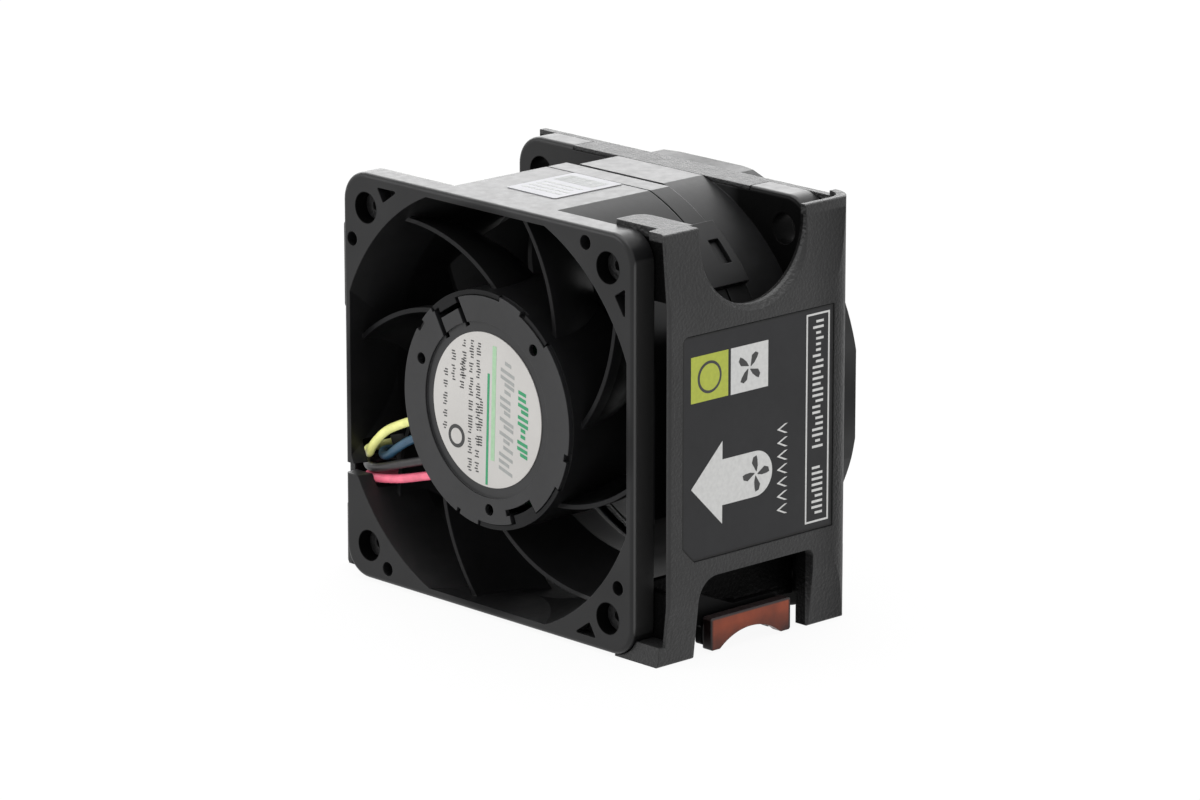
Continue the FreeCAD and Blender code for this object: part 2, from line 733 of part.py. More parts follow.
# ---------------------------------------------------------------- hub cover and labels
def hub_cover():
    """Twist-lock cover over the circuit board, recessed for the label."""
    deep = base_rim_y + cover_lip_depth + overshoot
    front = cover_front_y - overshoot
    low_edge_r = base_r - rim_lug_wall - cover_edge
    disc_r = base_r - cover_edge
    lip_r = base_inner_r - cover_fit
    lip = ring(lip_r, lip_r - cover_lip_wall, base_rim_y, base_rim_y + cover_lip_depth)
    slots_end = tongue_width / 2 + tongue_slot
    cuts = [sector(base_r + overshoot, lead_notch_start - 6, lead_notch_end + 6, base_rim_y, deep),
            turned(box(tongue_root_r, base_r, base_rim_y, deep, -slots_end, slots_end),
                   tongue_angle)]
    cover = disc(disc_r, cover_front_y, base_rim_y).fuse(lip.cut(cuts))

    cuts = [disc(label_recess_r, front, cover_front_y + label_recess_depth)]
    cuts += [ring_sector(base_r + overshoot, low_edge_r, start - 1, end + 1, front, base_rim_y)
             for start, end in rim_lugs]
    cuts += [ring_sector(base_r + overshoot, low_edge_r, start, end, front, base_rim_y)
             for start, end in cover_notches]
    for angle in cover_holes:
        p = polar(cover_hole_radius, angle)
        cuts.append(disc(cover_hole_r, front, deep, p.x, p.z))
    for z0, z1 in ((-slots_end, -tongue_width / 2), (tongue_width / 2, slots_end)):
        cuts.append(turned(box(tongue_root_r, base_r + overshoot, front, deep, z0, z1),
                           tongue_angle))
    cuts.append(turned(box(tongue_end_r, base_r + overshoot, front, deep, -slots_end, slots_end),
                       tongue_angle))
    slot_end = hook_end + 1
    slot_outer_r = hook_inner_r - cover_edge
    cuts.append(ring_sector(slot_outer_r, hook_slot_r, hook_slot_start, slot_end, front, deep))
    cuts.append(ring_sector(base_r + overshoot, slot_outer_r - 0.2, hook_start - hook_travel,
                            slot_end, front, deep))
    return cover.cut(cuts)


def hub_label():
    back = cover_front_y + label_recess_depth
    return disc(label_r, back - label_thickness, back)


def top_sticker():
    return slab(rectangle(-sticker_width / 2 + 0.3, sticker_width / 2 + 0.3, sticker_front_y,
                          sticker_rear_y), 0.4, in_xy(half_side), Vector(0, 0, sticker_thickness))


# ---------------------------------------------------------------- bearings and shaft
def bearing_tube():
    tube = ring(tube_r, tube_shoulder_r, tube_front_y, tube_rear_y)
    seats = [disc(bearing_outer_r, tube_front_y - overshoot, front_bearing_y + bearing_width),
             disc(bearing_outer_r, rear_bearing_y, tube_rear_y + overshoot)]
    return tube.cut(seats)


def race_groove(y_middle):
    return Part.makeTorus(ball_orbit_r, ball_r + ball_play, Vector(0, y_middle, 0), Vector(0, 1, 0))


def bearing_outer_ring(y0):
    body = ring(bearing_outer_r, bearing_outer_race_r, y0, y0 + bearing_width)
    return body.cut(race_groove(y0 + bearing_width / 2))


def bearing_inner_ring(y0):
    body = ring(bearing_inner_race_r, bearing_bore_r, y0, y0 + bearing_width)
    return body.cut(race_groove(y0 + bearing_width / 2))


def bearing_balls(y0):
    ball = Part.makeSphere(ball_r, Vector(ball_orbit_r, y0 + bearing_width / 2, 0))
    return Part.Compound(around(ball, ball_count))


def bearing_cage(y0):
    middle = y0 + bearing_width / 2
    body = ring(ball_orbit_r + cage_thickness / 2, ball_orbit_r - cage_thickness / 2,
                middle - cage_width / 2, middle + cage_width / 2)
    pocket = Part.makeCylinder(ball_r + ball_play, 2 * cage_thickness,
                               Vector(ball_orbit_r - cage_thickness, middle, 0), Vector(1, 0, 0))
    return body.cut(around(pocket, ball_count))


def rotor_shaft():
    body = disc(shaft_r, shaft_front_y, shaft_rear_y)
    groove = ring(shaft_r + overshoot, shaft_r - clip_groove_depth, tube_front_y, front_bearing_y)
    return body.cut(groove)


def shaft_clip():
    body = ring(clip_ring_r, shaft_r - clip_groove_depth, tube_front_y, front_bearing_y)
    mouth = (shaft_r - clip_groove_depth) * 0.8
    return body.cut(box(0, clip_ring_r + overshoot, 0, frame_depth, -mouth, mouth))


def preload_spring():
    """Cone washer that presses the inlet bearing's inner ring."""
    low = tube_rear_y
    high = bushing_y
    inner_r = shaft_r + spring_play
    return revolved([(inner_r, high - spring_thickness),
                     (spring_outer_r - spring_slope_width, low),
                     (bearing_inner_race_r, low), (spring_outer_r, high - spring_thickness),
                     (spring_outer_r, high), (inner_r, high)])


# ---------------------------------------------------------------- stator and board
def stator_outline(shoe, y0, y1):
    """Toothed lamination shape between two heights."""
    parts = [ring(stack_yoke_r, tube_r, y0, y1)]
    tooth = box(stack_yoke_r - root, stack_r - root * 0.75, y0, y1, -tooth_width / 2, tooth_width / 2)
    crown = ring(stack_r, stack_r - shoe_depth, y0, y1) if shoe else None
    solid = parts[0].multiFuse(around(tooth, tooth_count))
    if crown:
        gap = box(stack_r - 2 * shoe_depth, stack_r + overshoot, y0 - overshoot, y1 + overshoot,
                  -shoe_gap / 2, shoe_gap / 2)
        crown = crown.cut(around(gap, tooth_count, 180.0 / tooth_count))
        solid = solid.fuse(crown)
    return solid


def stator_core():
    return stator_outline(True, stack_y, stack_y + stack_length)


def coil_insulator():
    """End plates of the stator, in two pieces that clip on from either side."""
    rear = stack_y + stack_length
    return Part.Compound([stator_outline(False, stack_y - insulator_thickness, stack_y),
                          stator_outline(False, rear, rear + insulator_thickness)])


def stator_windings():
    """One coil round each tooth and its insulator."""
    inner_low = stack_y - insulator_thickness
    inner_high = stack_y + stack_length + insulator_thickness
    half_tooth = tooth_width / 2 + coil_play
    inner = box(coil_inner_r - overshoot, coil_outer_r + overshoot, inner_low - coil_play,
                inner_high + coil_play, -half_tooth, half_tooth)
    half = tooth_width / 2 + coil_build
    profile = rectangle(inner_low - coil_build, inner_high + coil_build, -half, half)
    outer = slab(profile, coil_build * 0.9, in_yz(coil_inner_r),
                 Vector(coil_outer_r - coil_inner_r, 0, 0))
    return Part.Compound(around(outer.cut(inner), tooth_count))


def terminal_pins():
    half = terminal_side / 2
    pins = []
    for i in range(3):
        p = polar(terminal_radius, 30.0 + 120.0 * i)
        pins.append(box(p.x - half, p.x + half, board_y - terminal_stand, stack_y - insulator_thickness,
                        p.z - half, p.z + half))
    return Part.Compound(pins)


def circuit_board():
    body = ring(board_r, tube_r + board_hole_play, board_y, board_y + board_thickness)
    half = terminal_side / 2 + terminal_fit
    for i in range(3):
        p = polar(terminal_radius, 30.0 + 120.0 * i)
        body = body.cut(box(p.x - half, p.x + half, 0, frame_depth, p.z - half, p.z + half))
    return body


def board_components():
    """Driver chip, sensor, capacitors and resistors on the board's outlet side."""
    chip_x = board_r - chip_inset_x
    chip_z = chip_inset_z - board_r
    sensor_z = board_r - sensor_inset
    items = [box(chip_x - chip_side, chip_x, board_y - chip_height, board_y,
                 chip_z, chip_z + chip_side),
             box(-sensor_side / 2, sensor_side / 2, board_y - sensor_height, board_y,
                 sensor_z - sensor_side, sensor_z)]
    inset_x, z, r, height = right_capacitor
    items.append(disc(r, board_y - height, board_y, board_r - inset_x, z))
    inset_x, inset_z, r, height = left_capacitor
    items.append(disc(r, board_y - height, board_y, inset_x - board_r, board_r - inset_z))
    for angle in resistor_angles:
        p = polar(resistor_radius, angle)
        items.append(box(p.x - resistor_length / 2, p.x + resistor_length / 2,
                         board_y - resistor_height, board_y,
                         p.z - resistor_width / 2, p.z + resistor_width / 2))
    return Part.Compound(items)


# ---------------------------------------------------------------- rotor
def ring_magnet():
    return ring(magnet_outer_r, magnet_inner_r, magnet_y, magnet_y + magnet_length)


def rotor_cup():
    """Drawn steel cup that closes the magnetic circuit."""
    floor = rotor_cup_floor_y
    return revolved([(rotor_cup_r, rotor_cup_front_y), (rotor_cup_r, floor + rotor_cup_thickness),
                     (bushing_neck_r, floor + rotor_cup_thickness), (bushing_neck_r, floor),
                     (magnet_outer_r, floor), (magnet_outer_r, rotor_cup_front_y)])


def shaft_bushing():
    floor = rotor_cup_floor_y
    return revolved([(shaft_r, bushing_y), (bushing_r, bushing_y), (bushing_r, floor),
                     (bushing_neck_r, floor), (bushing_neck_r, shaft_rear_y),
                     (shaft_r, shaft_rear_y)])


def impeller():
    """Hub and blades; the airway narrows from the nose to the hub's outlet edge."""
    floor = rotor_cup_floor_y + rotor_cup_thickness
    hub = disc(rotor_hub_r, rotor_hub_front_y, rotor_hub_rear_y)
    hub = hub.makeFillet(rotor_nose_r, [e for e in hub.Edges
                                        if abs(e.CenterOfMass.y - rotor_hub_rear_y) < 1e-6
                                        and e.Closed])

    def angle_at(r, s):
        share = (r - rotor_hub_r) / (blade_tip_r - rotor_hub_r)
        lead = blade_root_lead + (blade_tip_lead - blade_root_lead) * max(0.0, share)
        bow = 0.12 * math.sin(math.pi * s)
        return -blade_sweep * max(0.0, share) ** 1.3 - math.degrees(lead * (s + bow) / max(r, 1.0))

    blade = curved_blade(rotor_hub_r - rotor_hub_wall / 2, blade_tip_r, blade_front_y, blade_rear_y,
                         blade_thickness, angle_at)
    body = hub.multiFuse(around(blade, blade_count, 12.0))
    body = body.cut(disc(rotor_cup_r, rotor_hub_front_y - overshoot, floor))
    return body.cut(disc(bushing_neck_r, floor - overshoot, shaft_rear_y))


# ---------------------------------------------------------------- side carrier
def carrier_wing(sx, sz, points):
    """Plate behind a front flange corner, with the pin that enters the flange hole."""
    plate = slab(points, 0.6, in_xz(wing_front_y), Vector(0, wing_thickness, 0))
    plate = plate.cut(disc(shell_r + wing_gap, 0, frame_depth))
    pin = disc(pin_r, pin_recess, wing_front_y + 0.2, sx * half_pitch, sz * half_pitch)
    pin = pin.cut(disc(pin_r * 0.36, 0, pin_recess + 0.8, sx * half_pitch, sz * half_pitch))
    return plate.fuse(pin)


def side_carrier():
    """Label plate, rear wall and connector arm in one moulding that wraps the fan."""
    height = Vector(0, 0, carrier_top_z - carrier_bottom_z)
    low = in_xy(carrier_bottom_z)
    rear_wall_end = carrier_side_gap - half_side
    wrap = [(carrier_plate_x, carrier_front_y), (carrier_plate_x, carrier_rear_y),
            (rear_wall_end, carrier_rear_y), (rear_wall_end, frame_depth),
            (carrier_inner_x, frame_depth), (carrier_inner_x, carrier_front_y)]
    inner_corner_r = carrier_corner_r - carrier_plate_wall
    body = slab(wrap, [0.5, carrier_corner_r, 0, 0, inner_corner_r, 0.3], low, height)
    lean = [(carrier_arm_x, carrier_bottom_z), (carrier_plate_x - carrier_taper, carrier_bottom_z),
            (carrier_plate_x, carrier_bottom_z + carrier_taper_low),
            (carrier_plate_x, carrier_top_z - carrier_taper_high),
            (carrier_plate_x - carrier_taper, carrier_top_z), (carrier_arm_x, carrier_top_z)]
    body = body.common(slab(lean, [0, 0.4, 6.0, 6.0, 0.4, 0], in_xz(0), Vector(0, guard_rear_y, 0)))
    plate_edge = [(x - carrier_lip, z) for x, z in lean[1:-1]]
    inside_x = carrier_inner_x - overshoot
    bevel = [(inside_x, carrier_bottom_z)] + plate_edge + [(inside_x, carrier_top_z)]
    body = body.cut(slab(bevel, [0, 0, 6.0, 6.0, 0, 0], in_xz(carrier_front_y),
                         Vector(carrier_lip - carrier_plate_wall, carrier_lip_length, 0)))
    body = body.cut(box(-half_side - overshoot, half_side, frame_depth - overshoot,
                        carrier_rear_y + overshoot, half_side, carrier_top_z + overshoot))

    arm_end = carrier_corner_r - half_side
    arm = [(carrier_arm_x, carrier_arm_front_y), (carrier_arm_x, carrier_rear_y),
           (arm_end, carrier_rear_y), (arm_end, frame_depth),
           (carrier_arm_x + carrier_arm_wall, frame_depth),
           (carrier_arm_x + carrier_arm_wall, carrier_arm_front_y)]
    arm = slab(arm, [0.5, carrier_corner_r, 0, 0, carrier_corner_r - carrier_arm_wall, 0.3], low,
               Vector(0, 0, carrier_arm_top_z - carrier_bottom_z))

    # wings behind the four front flange corners
    reach = half_side - wing_inset
    edge = half_side + wing_gap
    right = carrier_inner_x + 0.3
    wing_low = half_side - left_wing_low
    arm_low = carrier_arm_top_z - left_wing_overlap
    outside = -half_side - left_wing_reach
    wings = [carrier_wing(1, 1, [(reach - 0.5, reach - 2.5), (right, reach - 2.5),
                                 (right, carrier_top_z), (reach - 0.5, edge)]),
             carrier_wing(1, -1, [(reach, carrier_bottom_z), (right, carrier_bottom_z),
                                  (right, -reach + 2.0), (reach, -reach + 2.0)]),
             carrier_wing(-1, -1, [(carrier_arm_x + 0.4, carrier_bottom_z), (-reach, carrier_bottom_z),
                                   (-reach, -reach + 2.0), (carrier_arm_x + 0.4, -reach + 2.0)]),
             carrier_wing(-1, 1, [(carrier_arm_x + 0.3, arm_low), (outside, arm_low),
                                  (outside, wing_low - left_wing_slant),
                                  (left_wing_reach - half_side, wing_low), (-reach, wing_low),
                                  (-reach, half_pitch + pin_r),
                                  (2 * left_wing_reach - half_side, half_pitch + pin_r),
                                  (carrier_arm_x + 0.3, wing_low - 0.5)])]

    # cap over the upper wing and ledges under the lower ones
    nose_x = half_side + wing_gap
    cap = slab([(wing_cap_x, wing_front_y), (nose_x, wing_front_y),
                (nose_x + wing_gap, wing_cap_nose_y), (right, wing_cap_nose_y),
                (right, wing_cap_rear_y), (wing_cap_x, wing_cap_rear_y)],
               [0.3, 0, 0.3, 0, 0, wing_cap_corner_r], in_xy(carrier_top_z - wing_cap),
               Vector(0, 0, wing_cap))
    ledge_top = carrier_bottom_z + wing_cap
    ledges = [box(reach, right, wing_front_y, wing_front_y + wing_depth, carrier_bottom_z, ledge_top),
              box(carrier_arm_x + 0.6, -reach, wing_front_y, wing_front_y + wing_depth,
                  carrier_bottom_z, ledge_top)]

    foot_left = half_side - flange_corner_r
    foot_right = carrier_plate_x - carrier_taper
    foot_top = carrier_bottom_z + front_foot_height
    slant = carrier_taper * front_foot_height / carrier_taper_low
    front_foot = slab([(foot_left, carrier_bottom_z), (foot_right, carrier_bottom_z),
                       (foot_right + slant, foot_top), (foot_left, foot_top)], [0, 0.4, 0.2, 0],
                      in_xz(front_foot_y), Vector(0, wing_rear_y - front_foot_y, 0))
    front_foot = front_foot.cut(rounded_prism(half_side + clip_play, flange_corner_r + clip_play,
                                              -overshoot, wing_front_y))
    rear_foot = box(rear_foot_x, right, notch_rear_y, frame_depth, carrier_bottom_z,
                    rear_foot_top_z)
    stop_wall = box(stop_wall_x - stop_wall_thickness, stop_wall_x, wing_front_y + wing_gap,
                    rear_flange_y - wing_gap, stop_wall_low_z, stop_wall_top_z)

    # cradle that holds the connector against the arm
    outer = box(carrier_arm_x + 0.6, connector_high_x + cradle_play + cradle_wall,
                connector_front_y - cradle_play - cradle_wall,
                connector_rear_y + cradle_play + cradle_wall, cradle_low_z, cradle_high_z)
    pocket = box(connector_low_x - cradle_play, connector_high_x + cradle_play,
                 connector_front_y - cradle_play, connector_rear_y + cradle_play,
                 cradle_low_z - overshoot, cradle_high_z + overshoot)

    # snap tabs over the top and bottom edges of the rear flange
    tabs = [box(-tab_width / 2, tab_width / 2, rear_flange_y + 0.1, carrier_rear_y,
                z - tab_thickness / 2, z + tab_thickness / 2)
            for z in (half_side - tab_thickness / 2, -half_side + tab_thickness / 2)]

    fan_space = disc(shell_r + clip_thickness + wing_gap, 0, frame_depth)
    body = body.multiFuse([arm, cap, stop_wall.cut(fan_space), front_foot, rear_foot,
                           outer.cut([pocket, fan_space])]
                          + wings + ledges + tabs)

    cuts = [disc(carrier_opening_r, frame_depth - overshoot, carrier_rear_y + overshoot)]
    cuts += at_corners(disc(hole_r, frame_depth - overshoot, carrier_rear_y + overshoot))
    across = Vector(1, 0, 0)
    cuts.append(Part.makeCylinder(scallop_r, carrier_plate_wall + 2 * overshoot,
                                  Vector(inside_x, scallop_y, scallop_z), across))
    cuts.append(box(inside_x, carrier_plate_x + overshoot, scallop_y - scallop_r,
                    scallop_y + scallop_r, scallop_z, carrier_top_z + overshoot))
    cuts.append(Part.makeCone(scallop_r, scallop_r + scallop_bevel, scallop_bevel,
                              Vector(carrier_plate_x - scallop_bevel, scallop_y, scallop_z), across))
    cuts.append(slab([(notch_front_y, carrier_bottom_z - overshoot), (notch_front_y, notch_top_z),
                      (notch_rear_y, notch_top_z), (notch_rear_y, carrier_bottom_z - overshoot)],
                     [0, notch_front_corner_r, notch_rear_corner_r, 0], in_yz(inside_x),
                     Vector(carrier_plate_wall + 2 * overshoot, 0, 0)))
    cuts.append(label_outline(0.0, carrier_plate_x - recess_depth, recess_depth + overshoot))
    return body.cut(cuts)


def label_outline(margin, x0, thickness):
    """Label shape on the carrier plate, with its chamfered lower corner."""
    y0 = recess_front_y + margin
    y1 = recess_rear_y - margin
    z0 = recess_low_z + margin
    z1 = recess_high_z - margin
    points = [(y0, z0 + recess_chamfer), (y0 + recess_chamfer, z0), (y1, z0), (y1, z1), (y0, z1)]
    return slab(points, [0.3, 0.3, 0.2, 0.2, 1.0], in_yz(x0), Vector(thickness, 0, 0))


def carrier_label():
    return label_outline(plate_label_margin, carrier_plate_x - recess_depth, plate_label_thickness)


# ---------------------------------------------------------------- inlet guard
def inlet_guard():
    """Inlet ring with a finger grille of concentric ribs and radial spokes."""
    flats = box(-guard_flat, guard_flat, 0, guard_rear_y + overshoot, -guard_flat, guard_flat)
    outer = disc(guard_r, guard_front_y, guard_rear_y - guard_edge)
    outer = outer.fuse(cone(guard_r, guard_r - guard_edge, guard_rear_y - guard_edge, guard_rear_y))
    mouth = disc(guard_bore_r, guard_front_y - overshoot, grille_front_y)
    mouth = mouth.fuse(cone(guard_bore_r, guard_mouth_r, grille_front_y, guard_rear_y))
    body = outer.common(flats).cut(mouth.common(box(-guard_bore_r, guard_bore_r, 0,
                                                    guard_rear_y + overshoot,
                                                    -guard_bore_r, guard_bore_r)))
    rear_y = guard_rear_y - grille_set_back
    parts = [disc(grille_hub_r, grille_front_y, rear_y)]
    for i in range(1, grille_ring_count + 1):
        r = grille_hub_r + grille_ring_pitch * i
        parts.append(ring(r + grille_rib / 2, r - grille_rib / 2, grille_front_y, rear_y))
    spoke = box(grille_hub_r - root, guard_bore_r + root, grille_front_y, rear_y,
                -grille_spoke_width / 2, grille_spoke_width / 2)
    parts += around(spoke, grille_spoke_count, 30.0)
    return body.multiFuse(parts)


# ---------------------------------------------------------------- touch latch
def arch_cutter(x0, x1):
    """Finger relief under the pad."""
    middle = (pad_front_y + pad_rear_y) / 2
    centre_z = pad_low_z + pad_arch_rise - pad_arch_r
    return Part.makeCylinder(pad_arch_r, x1 - x0, Vector(x0, middle, centre_z), Vector(1, 0, 0))


def latch_arm():
    """Flexing arm that carries the touch pad."""
    back_low = pad_low_z + latch_back_margin
    back_high = pad_high_z + 0.5
    front = pad_front_y + latch_back_margin
    rear = pad_rear_y - latch_back_margin
    points = [(latch_root_y, latch_arm_low_z), (latch_root_y, latch_arm_high_z),
              (latch_neck_y, latch_arm_high_z), (latch_neck_end_y, back_high), (rear, back_high),
              (rear, back_low), (front, back_low), (front, latch_arm_low_z)]
    arm = slab(points, [0, 0.4, 2.0, 2.0, 0.5, 0.5, 0.5, 0.5], in_yz(latch_arm_x),
               Vector(latch_arm_thickness, 0, 0))
    edge = [(latch_root_y + latch_root_gap, latch_arm_high_z), (latch_neck_y, latch_arm_high_z),
            (latch_neck_end_y, back_high), (latch_flange_end_y, back_high)]
    under = [(y, z - latch_flange_thickness) for y, z in reversed(edge)]
    top_flange = slab(edge + under, [0, 2.0, 2.0, 0.3, 0.3, 1.0, 3.0, 0], in_yz(latch_flange_x),
                      Vector(latch_arm_x + latch_arm_thickness - latch_flange_x, 0, 0))
    arm = arm.fuse(top_flange)
    block_x = latch_arm_x + latch_arm_thickness
    block = slab(rectangle(front + 0.4, rear - 0.4, back_low + 0.4, pad_high_z - 0.4), 0.4,
                 in_yz(block_x), Vector(pad_outer_x - pad_thickness - block_x, 0, 0))
    return arm.fuse(block).cut(arch_cutter(latch_arm_x - overshoot, pad_outer_x))


def touch_pad():
    """Coloured pad, with its long edges eased."""
    pad = slab(rectangle(pad_front_y, pad_rear_y, pad_low_z, pad_high_z), 0.35,
               in_yz(pad_outer_x - pad_thickness), Vector(pad_thickness, 0, 0))
    return pad.cut(arch_cutter(latch_arm_x, pad_outer_x + overshoot))


# ---------------------------------------------------------------- connector and leads
def contact_y(index):
    return contact_start_y + contact_pitch * index


def connector_housing():
    """Four-way blind-mate receptacle, open downwards."""
    profile = rectangle(connector_low_x, connector_high_x, connector_front_y, connector_rear_y)
    body = slab(profile, [0.5, 0.5, 0.5, 0.5], in_xy(connector_low_z),
                Vector(0, 0, connector_high_z - connector_low_z))
    cuts = []
    for i in range(4):
        y = contact_y(i)
        cuts.append(box(connector_mid_x - contact_slot_x / 2, connector_mid_x + contact_slot_x / 2,
                        y - contact_slot_y / 2, y + contact_slot_y / 2,
                        connector_low_z - overshoot, connector_high_z - slot_roof))
        cuts.append(Part.makeCylinder(lead_r + lead_play, slot_roof + overshoot,
                                      Vector(connector_mid_x, y, connector_high_z - slot_roof - 0.4)))
    return body.cut(cuts)


def connector_contacts():
    """Two-leaf contact inside each slot."""
    leaves = []
    for i in range(4):
        y = contact_y(i)
        for side in (-1, 1):
            edge = y + side * (contact_slot_y / 2 - contact_fit)
            y0, y1 = sorted((edge, edge - side * contact_wall))
            leaves.append(box(connector_mid_x - contact_slot_x / 2 + contact_margin,
                              connector_mid_x + contact_slot_x / 2 - contact_margin, y0, y1,
                              connector_low_z + contact_recess,
                              connector_high_z - slot_roof - 2 * contact_margin))
    return Part.Compound(leaves)


def lead(points, radius):
    """Round wire along straight runs joined by tangent arcs."""
    edges = []
    start = points[0]
    for i in range(1, len(points) - 1):
        corner = points[i]
        back = (points[i - 1] - corner)
        ahead = (points[i + 1] - corner)
        shorter = min(back.Length, ahead.Length)
        back.normalize()
        ahead.normalize()
        half_open = back.getAngle(ahead) / 2
        reach = 0.45 * shorter
        bend_r = reach * math.tan(half_open)
        first = corner + back * reach
        last = corner + ahead * reach
        middle = corner + (back + ahead).normalize() * (bend_r / math.sin(half_open) - bend_r)
        edges.append(Part.LineSegment(start, first).toShape())
        edges.append(Part.Arc(first, middle, last).toShape())
        start = last
    edges.append(Part.LineSegment(start, points[-1]).toShape())
    path = Part.Wire(edges)
    profile = Part.Wire(Part.Circle(points[0], points[1] - points[0], radius).toShape())
    return path.makePipeShell([profile], True, False)


def fan_corner(x, y, z):
    """Point given from the lower left corner of the outlet face."""
    return Vector(x - half_side, y, z - half_side)


def lead_route(colour):
    """Board pad, hub exit, frame window and contact of one lead."""
    y = contact_y(list(lead_bends).index(colour))
    bends = [fan_corner(*bend) for bend in lead_bends[colour]]
    return ([Vector(bends[0].x, board_y, bends[0].z)] + bends
            + [Vector(connector_mid_x, y, connector_high_z + lead_straight),
               Vector(connector_mid_x, y, connector_high_z - lead_insertion)])


# ---------------------------------------------------------------- parts
parts = {
    "outlet_housing": outlet_housing,
    "inlet_housing": inlet_housing,
    "hub_cover": hub_cover,
    "hub_label": hub_label,
    "top_sticker": top_sticker,
    "bearing_tube": bearing_tube,
    "outlet_bearing_outer_ring": lambda: bearing_outer_ring(front_bearing_y),
    "outlet_bearing_inner_ring": lambda: bearing_inner_ring(front_bearing_y),
    "outlet_bearing_balls": lambda: bearing_balls(front_bearing_y),
    "outlet_bearing_cage": lambda: bearing_cage(front_bearing_y),
    "inlet_bearing_outer_ring": lambda: bearing_outer_ring(rear_bearing_y),
    "inlet_bearing_inner_ring": lambda: bearing_inner_ring(rear_bearing_y),
    "inlet_bearing_balls": lambda: bearing_balls(rear_bearing_y),
    "inlet_bearing_cage": lambda: bearing_cage(rear_bearing_y),
    "stator_core": stator_core,
    "coil_insulator": coil_insulator,
    "stator_windings": stator_windings,
    "terminal_pins": terminal_pins,
    "circuit_board": circuit_board,
    "board_components": board_components,
    "rotor_shaft": rotor_shaft,
    "shaft_clip": shaft_clip,
    "preload_spring": preload_spring,
    "shaft_bushing": shaft_bushing,
    "rotor_cup": rotor_cup,
    "ring_magnet": ring_magnet,
    "impeller": impeller,
    "side_carrier": side_carrier,
    "carrier_label": carrier_label,
    "inlet_guard": inlet_guard,
    "latch_arm": latch_arm,
    "touch_pad": touch_pad,
    "connector_housing": connector_housing,
    "connector_contacts": connector_contacts,
    "red_lead": lambda: lead(lead_route("red"), lead_r),
    "black_lead": lambda: lead(lead_route("black"), lead_r),
    "blue_lead": lambda: lead(lead_route("blue"), lead_r),
    "yellow_lead": lambda: lead(lead_route("yellow"), lead_r),
}

os.makedirs("parts", exist_ok=True)
for name, make in parts.items():
    shape = make()
    shape.translate(row_shift)
    shape.exportStep("parts/" + name + ".step")
    print(name, len(shape.Solids), "solid(s)", round(shape.Volume, 2), "mm3",
          "valid" if shape.isValid() else "NOT VALID")
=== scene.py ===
import json
import math
import random

import bmesh
import bpy
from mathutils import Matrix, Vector


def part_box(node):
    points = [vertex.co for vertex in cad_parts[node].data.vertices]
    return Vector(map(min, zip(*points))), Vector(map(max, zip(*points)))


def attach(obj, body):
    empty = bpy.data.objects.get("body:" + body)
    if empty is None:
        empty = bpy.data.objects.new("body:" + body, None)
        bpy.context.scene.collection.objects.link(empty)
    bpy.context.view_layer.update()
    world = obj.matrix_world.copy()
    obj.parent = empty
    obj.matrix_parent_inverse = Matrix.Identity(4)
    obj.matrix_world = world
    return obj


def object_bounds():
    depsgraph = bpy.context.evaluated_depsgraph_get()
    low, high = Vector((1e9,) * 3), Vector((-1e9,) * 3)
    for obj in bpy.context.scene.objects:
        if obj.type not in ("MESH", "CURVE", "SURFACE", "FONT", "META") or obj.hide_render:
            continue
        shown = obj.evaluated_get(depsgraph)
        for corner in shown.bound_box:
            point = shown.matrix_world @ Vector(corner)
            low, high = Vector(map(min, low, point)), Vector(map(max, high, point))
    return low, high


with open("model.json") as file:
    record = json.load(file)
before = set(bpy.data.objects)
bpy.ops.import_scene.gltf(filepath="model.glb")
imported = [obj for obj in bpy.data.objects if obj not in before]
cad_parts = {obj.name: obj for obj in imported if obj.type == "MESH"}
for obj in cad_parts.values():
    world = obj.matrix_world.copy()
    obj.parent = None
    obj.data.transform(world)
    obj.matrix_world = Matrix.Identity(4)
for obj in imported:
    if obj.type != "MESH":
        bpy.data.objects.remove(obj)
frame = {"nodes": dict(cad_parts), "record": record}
cad_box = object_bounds()
nodes = frame["nodes"]
MM = 0.001
rng = random.Random(60)
rotor_axis_z = (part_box("impeller")[0].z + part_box("impeller")[1].z) / 2

# ---------------------------------------------------------------- camera, floor and light
camera_place = Vector((0.614066, -0.581803, 0.252451))
camera_pitch = math.radians(90.0 - 14.864)
camera_turn = math.radians(46.543)
camera_lens = 183.73
floor_half = 3.0
floor_glow = 0.93          # share of the floor that stays white under the object's shadow
world_light = 0.62


def add_camera():
    data = bpy.data.cameras.new("camera")
    data.lens = camera_lens
    data.sensor_width = 36.0
    data.clip_start = 0.01
    camera = bpy.data.objects.new("camera", data)
    bpy.context.scene.collection.objects.link(camera)
    camera.location = camera_place
    camera.rotation_euler = (camera_pitch, 0.0, camera_turn)
    bpy.context.scene.camera = camera
    bpy.context.scene.view_settings.view_transform = "Standard"


def seen_directly(tree):
    """Factor that is 1 for camera, glossy and transmission rays."""
    path = tree.nodes.new("ShaderNodeLightPath")
    first = tree.nodes.new("ShaderNodeMath")
    first.operation = "MAXIMUM"
    tree.links.new(path.outputs["Is Camera Ray"], first.inputs[0])
    tree.links.new(path.outputs["Is Glossy Ray"], first.inputs[1])
    second = tree.nodes.new("ShaderNodeMath")
    second.operation = "MAXIMUM"
    tree.links.new(first.outputs[0], second.inputs[0])
    tree.links.new(path.outputs["Is Transmission Ray"], second.inputs[1])
    return second.outputs[0]


